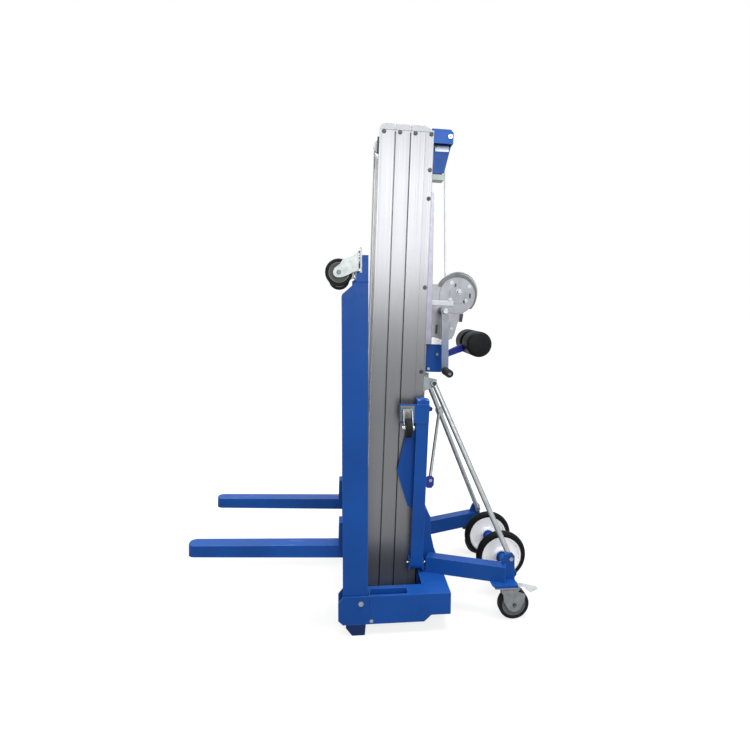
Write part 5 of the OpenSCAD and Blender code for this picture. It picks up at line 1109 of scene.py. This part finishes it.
front_core = one_finish("grey_moulded_core", ("#6E716D", "#626560"), 0.0, 0.4, cloud=120.0, gloss=0.3)
leg_enamel = enamel("powder_coated_leg_and_zinc_plate", bare_of=leg_plate, bare=FRONT_ZINC)
nut_zinc = one_finish("dull_zinc_axle_nut", ("#5C6062", "#4C5052"), 0.9, 0.42)
front_zinc = one_finish("bright_zinc_front_fork_steel", FRONT_ZINC, 0.85, 0.34, cloud=50.0, grain=0.05)
for side, sign in (("near", -1), ("far", 1)):
    finish("front_leg_" + side, leg_enamel)
    finish("front_fork_" + side, front_zinc)
    hub = at(FRONT_WHEEL[0], sign * LEG_Y, FRONT_WHEEL[1])
    finish("front_wheel_" + side, wheel_finish(
        "front_wheel_core_and_tyre_" + side, hub, ACROSS, FRONT_WHEEL_RIM, ("#555854", "#494C48")))
    wheel_trim("front_wheel_rings_" + side, hub, ACROSS, *FRONT_RINGS, front_core, "front_wheel_" + side)
    cheeks("front_fork_cheeks_" + side, FRONT_CHEEK, hub, FRONT_FORK_FACE, front_zinc, "front_fork_" + side)
    axle_nuts("front_axle_nuts_" + side, hub, ACROSS, FRONT_FORK_FACE + CHEEK_THICK, CASTER_NUT, nut_zinc,
              "front_fork_" + side)
    corners = [(at(LEG_PLATE_FRONT, sign * LEG_Y + y, z), (-1, 0, 0)) for y in (-LEG_BOLT_Y, LEG_BOLT_Y)
               for z in (LEG_PLATE[0] + LEG_BOLT_IN, LEG_PLATE[1] - LEG_BOLT_IN)]
    screwed("front_plate_bolts_" + side, corners, LEG_BOLT_SIZE, zinc, "front_leg_" + side)
    seam_lines = [[at(x, sign * LEG_Y + way * LEG_HALF, NECK_FOOT) for x in (NECK_FRONT + 0.001, NECK_REAR)]
                  for way in (-1, 1)]
    seam_lines += [[at(NECK_FRONT, sign * LEG_Y + way * (LEG_HALF - 0.002), NECK_FOOT) for way in (-1, 1)]]
    weld("leg_neck_seams_" + side, seam_lines, "front_leg_" + side)

# Stabilisers: blue square tubes folded up beside the mast, each with a front gusset, a
# moulded cap whose pale blue is painted light on its lit top, a small caster on a zinc fork
# and a dark latch near the top.
STAB_TOP = 0.888
STAB_OUT = 0.208
# painted light: the pale blue of the cap stands for the strongly lit top end
STAB_CAP_PAINTED_LIGHT = ("#4C73BE", "#4268B4")
STAB_WHEEL = (0.146, 0.789)
STAB_WHEEL_Y = 0.259
STAB_WHEEL_RIM = 0.0293
STAB_RINGS = (0.0106, 0.0290, 0.0150)
STAB_FORK_FACE = 0.019
STAB_NUT = (0.0082, 0.0100, 0.0060)
CAP_RIM = (0.1866, 0.2354, STAB_TOP + 0.0002, STAB_TOP + 0.0060)
CAP_RIM_Y = (0.1546, 0.2034)
LATCH_OUTLINE = ((0.2362, 0.846), (0.2480, 0.850), (0.2500, 0.861), (0.2362, 0.868))
LATCH_Y = (0.186, 0.204)
GUSSET_SEAM = (0.186, 0.1605)
GUSSET_RUN = (0.430, 0.755)
BRACE_LUGS_FROM = (0.800, 0.801)
STRUT_LUG = ((0.262, 0.474), (0.274, 0.464), (0.293, 0.464), (0.303, 0.478), (0.303, 0.510),
             (0.293, 0.520), (0.274, 0.520), (0.262, 0.510))
STRUT_LUG_Y = (-0.0140, -0.0158)
latch_navy = enamel("powder_coated_latch", ENAMEL_NAVY, ENAMEL_NAVY, NAVY_EDGE_HIGHLIGHT, 0.42)
caster_zinc = one_finish("bright_zinc_caster_steel", BARE_ZINC, 0.85, 0.34, cloud=50.0, grain=0.05)


def stabiliser_bare(tree, place):
    """The zinc caster plate on the outer face of a stabiliser."""
    return off_centre(tree, place, STAB_OUT + 0.0006, STAB_OUT + 0.0012)


stabiliser_enamel = enamel(
    "powder_coated_stabiliser", bare_of=stabiliser_bare, bare=("#6E7471", "#5E6461"))
stab_core = one_finish("dark_moulded_core", ("#5E6264", "#525658"), 0.0, 0.4, cloud=120.0, gloss=0.3)
for side, sign in (("near", -1), ("far", 1)):
    finish("stabiliser_" + side, stabiliser_enamel)
    finish("stabiliser_fork_" + side, caster_zinc)
    hub = mast(STAB_WHEEL[0], sign * STAB_WHEEL_Y, STAB_WHEEL[1])
    finish("stabiliser_wheel_" + side, wheel_finish(
        "stabiliser_wheel_core_and_tyre_" + side, hub, BACK, STAB_WHEEL_RIM, ("#505455", "#474B4C")))
    wheel_trim("stabiliser_wheel_rings_" + side, hub, BACK, *STAB_RINGS, stab_core,
               "stabiliser_wheel_" + side)
    axle_nuts("stabiliser_axle_nuts_" + side, hub, BACK, STAB_FORK_FACE, STAB_NUT, zinc,
              "stabiliser_fork_" + side)
    # The cap's pale blue is painted light.
    cap_painted_light = one_finish("moulded_cap_painted_light_" + side, STAB_CAP_PAINTED_LIGHT, 0.0, 0.45, cloud=120.0)
    plates("stabiliser_cap_rim_" + side, [box_outline(*CAP_RIM)], *CAP_RIM_Y, cap_painted_light,
           "stabiliser_" + side, "blue_paint", soften=0.0018, sides=(sign,))
    plates("stabiliser_latch_" + side, [LATCH_OUTLINE], *LATCH_Y, latch_navy,
           "stabiliser_" + side, "navy_paint", soften=0.0012, sides=(sign,))
    weld("stabiliser_gusset_seams_" + side, [
        [mast(GUSSET_SEAM[0], sign * GUSSET_SEAM[1], w) for w in GUSSET_RUN]], "stabiliser_" + side)
finish("mast_lugs", enamel(
    "blue_lugs_and_plated_brace_lugs", rough=0.36,
    bare_of=lambda tree, place: reach(tree, place, UP, *BRACE_LUGS_FROM),
    bare=("#8C9296", "#7C8286"), bare_metal=0.8))
strut_violet = enamel("powder_coated_strut_lug", "#2E3A93", "#3743A0", rough=0.36)
plates("strut_lug_plate", [STRUT_LUG], *STRUT_LUG_Y, strut_violet, "frame", "blue_paint", sides=(1,))

# Outriggers, braces and running gear: blue tubes reaching back to the zinc caster pads,
# zinc tube braces up to the mast, and a blue axle with two large white-disc wheels.
DISC_WHITE = ("#FFFFFF", "#FBFBFC")
SOLID_TYRE = ("#08090A", "#0F1011")
AXLE = (AXLE_FROM_ORIGIN, 0.178)
TRANSPORT_Y = 0.113
DISC_R = 0.0868
DISC_FACE = 0.005
DISC_RINGS = ((((0.0745, -0.0004), (0.0755, 0.0012), (0.0785, 0.0012), (0.0795, -0.0004)), 64),
              (((0.0300, -0.0004), (0.0310, 0.0030), (0.0360, 0.0010), (0.0370, -0.0004)), 48))
PADS_UNDER = (-0.1436, -0.1432)          # measured downward
finish("outriggers", enamel(
    "powder_coated_outriggers_and_zinc_pads",
    bare_of=lambda tree, place: reach(tree, place, (0, 0, -1), *PADS_UNDER)))
finish("braces", one_finish(
    "zinc_plated_brace_tube", ("#A2A6A8", "#8F9496"), 0.9, 0.36, cloud=34.0, grain=0.04))
finish("transport_axle", blue_enamel)
disc_white = one_finish("moulded_white_disc", DISC_WHITE, 0.0, 0.4, cloud=20.0, grain=0.02, gloss=1.0)
for side, sign in (("near", -1), ("far", 1)):
    hub = at(AXLE[0], sign * TRANSPORT_Y, AXLE[1])
    finish("transport_wheel_" + side, wheel_finish(
        "transport_wheel_disc_and_tyre_" + side, hub, ACROSS, DISC_R, DISC_WHITE, tyre=SOLID_TYRE,
        core_rough=0.4, core_gloss=1.0))
    rings = bmesh.new()
    for way in (-1, 1):
        for profile, steps in DISC_RINGS:
            turned(rings, profile, hub + Vector((0, way * DISC_FACE, 0)), (0, way, 0), steps=steps)
    piece("transport_wheel_rings_" + side, rings, disc_white, "transport_wheel_" + side)

# Rear casters: pressed zinc forks under the outriggers' pads, each with a grey-cored rubber
# wheel on a bolted axle and a steel brake pedal.
REAR_WHEEL = (AXLE_FROM_ORIGIN, 0.300, 0.0625)
REAR_WHEEL_RIM = 0.0483
REAR_RINGS = (0.0126, 0.0478, 0.0160)
REAR_FORK_FACE = 0.022
REAR_CHEEK = ((-0.050, 0.066), (-0.044, 0.015), (-0.024, -0.018), (-0.010, -0.0265), (0.008, -0.0270),
              (0.022, -0.020), (0.040, 0.014), (0.045, 0.046), (0.010, 0.058), (0.002, 0.066))
# Painted shade: a darker copy of the caster zinc for the rear forks low by the floor.
REAR_ZINC_SHADED = ("#828688", "#6F7375")
PEDAL_HALF = 0.012
PEDAL_FLANGE = ((0.034, 0.0752), (0.0985, 0.0602), (0.090, 0.0545), (0.068, 0.0460), (0.052, 0.0590))
rear_zinc_shaded = one_finish("darker_caster_zinc_painted_shade", REAR_ZINC_SHADED, 0.85, 0.36, cloud=50.0, grain=0.05)
pedal_zinc = one_finish("zinc_plated_pedal", ("#D3D7D8", "#C0C4C5"), 0.8, 0.32)
rear_core = one_finish("light_grey_moulded_core", ("#767B7D", "#6B7072"), 0.0, 0.4, cloud=120.0, gloss=0.3)
for side, sign in (("near", -1), ("far", 1)):
    finish("rear_fork_" + side, rear_zinc_shaded)
    hub = at(REAR_WHEEL[0], sign * REAR_WHEEL[1], REAR_WHEEL[2])
    finish("rear_wheel_" + side, wheel_finish(
        "rear_wheel_core_and_tyre_" + side, hub, ACROSS, REAR_WHEEL_RIM, ("#65696C", "#5B5F62")))
    wheel_trim("rear_wheel_rings_" + side, hub, ACROSS, *REAR_RINGS, rear_core, "rear_wheel_" + side)
    cheeks("rear_fork_cheeks_" + side, REAR_CHEEK, hub, REAR_FORK_FACE, rear_zinc_shaded, "rear_fork_" + side)
    axle_nuts("rear_axle_nuts_" + side, hub, ACROSS, REAR_FORK_FACE + CHEEK_THICK, CASTER_NUT, nut_zinc,
              "rear_fork_" + side)
    finish("brake_pedal_" + side, pedal_zinc)
    cheeks("pedal_flanges_" + side, PEDAL_FLANGE, hub, PEDAL_HALF, pedal_zinc, "brake_pedal_" + side)
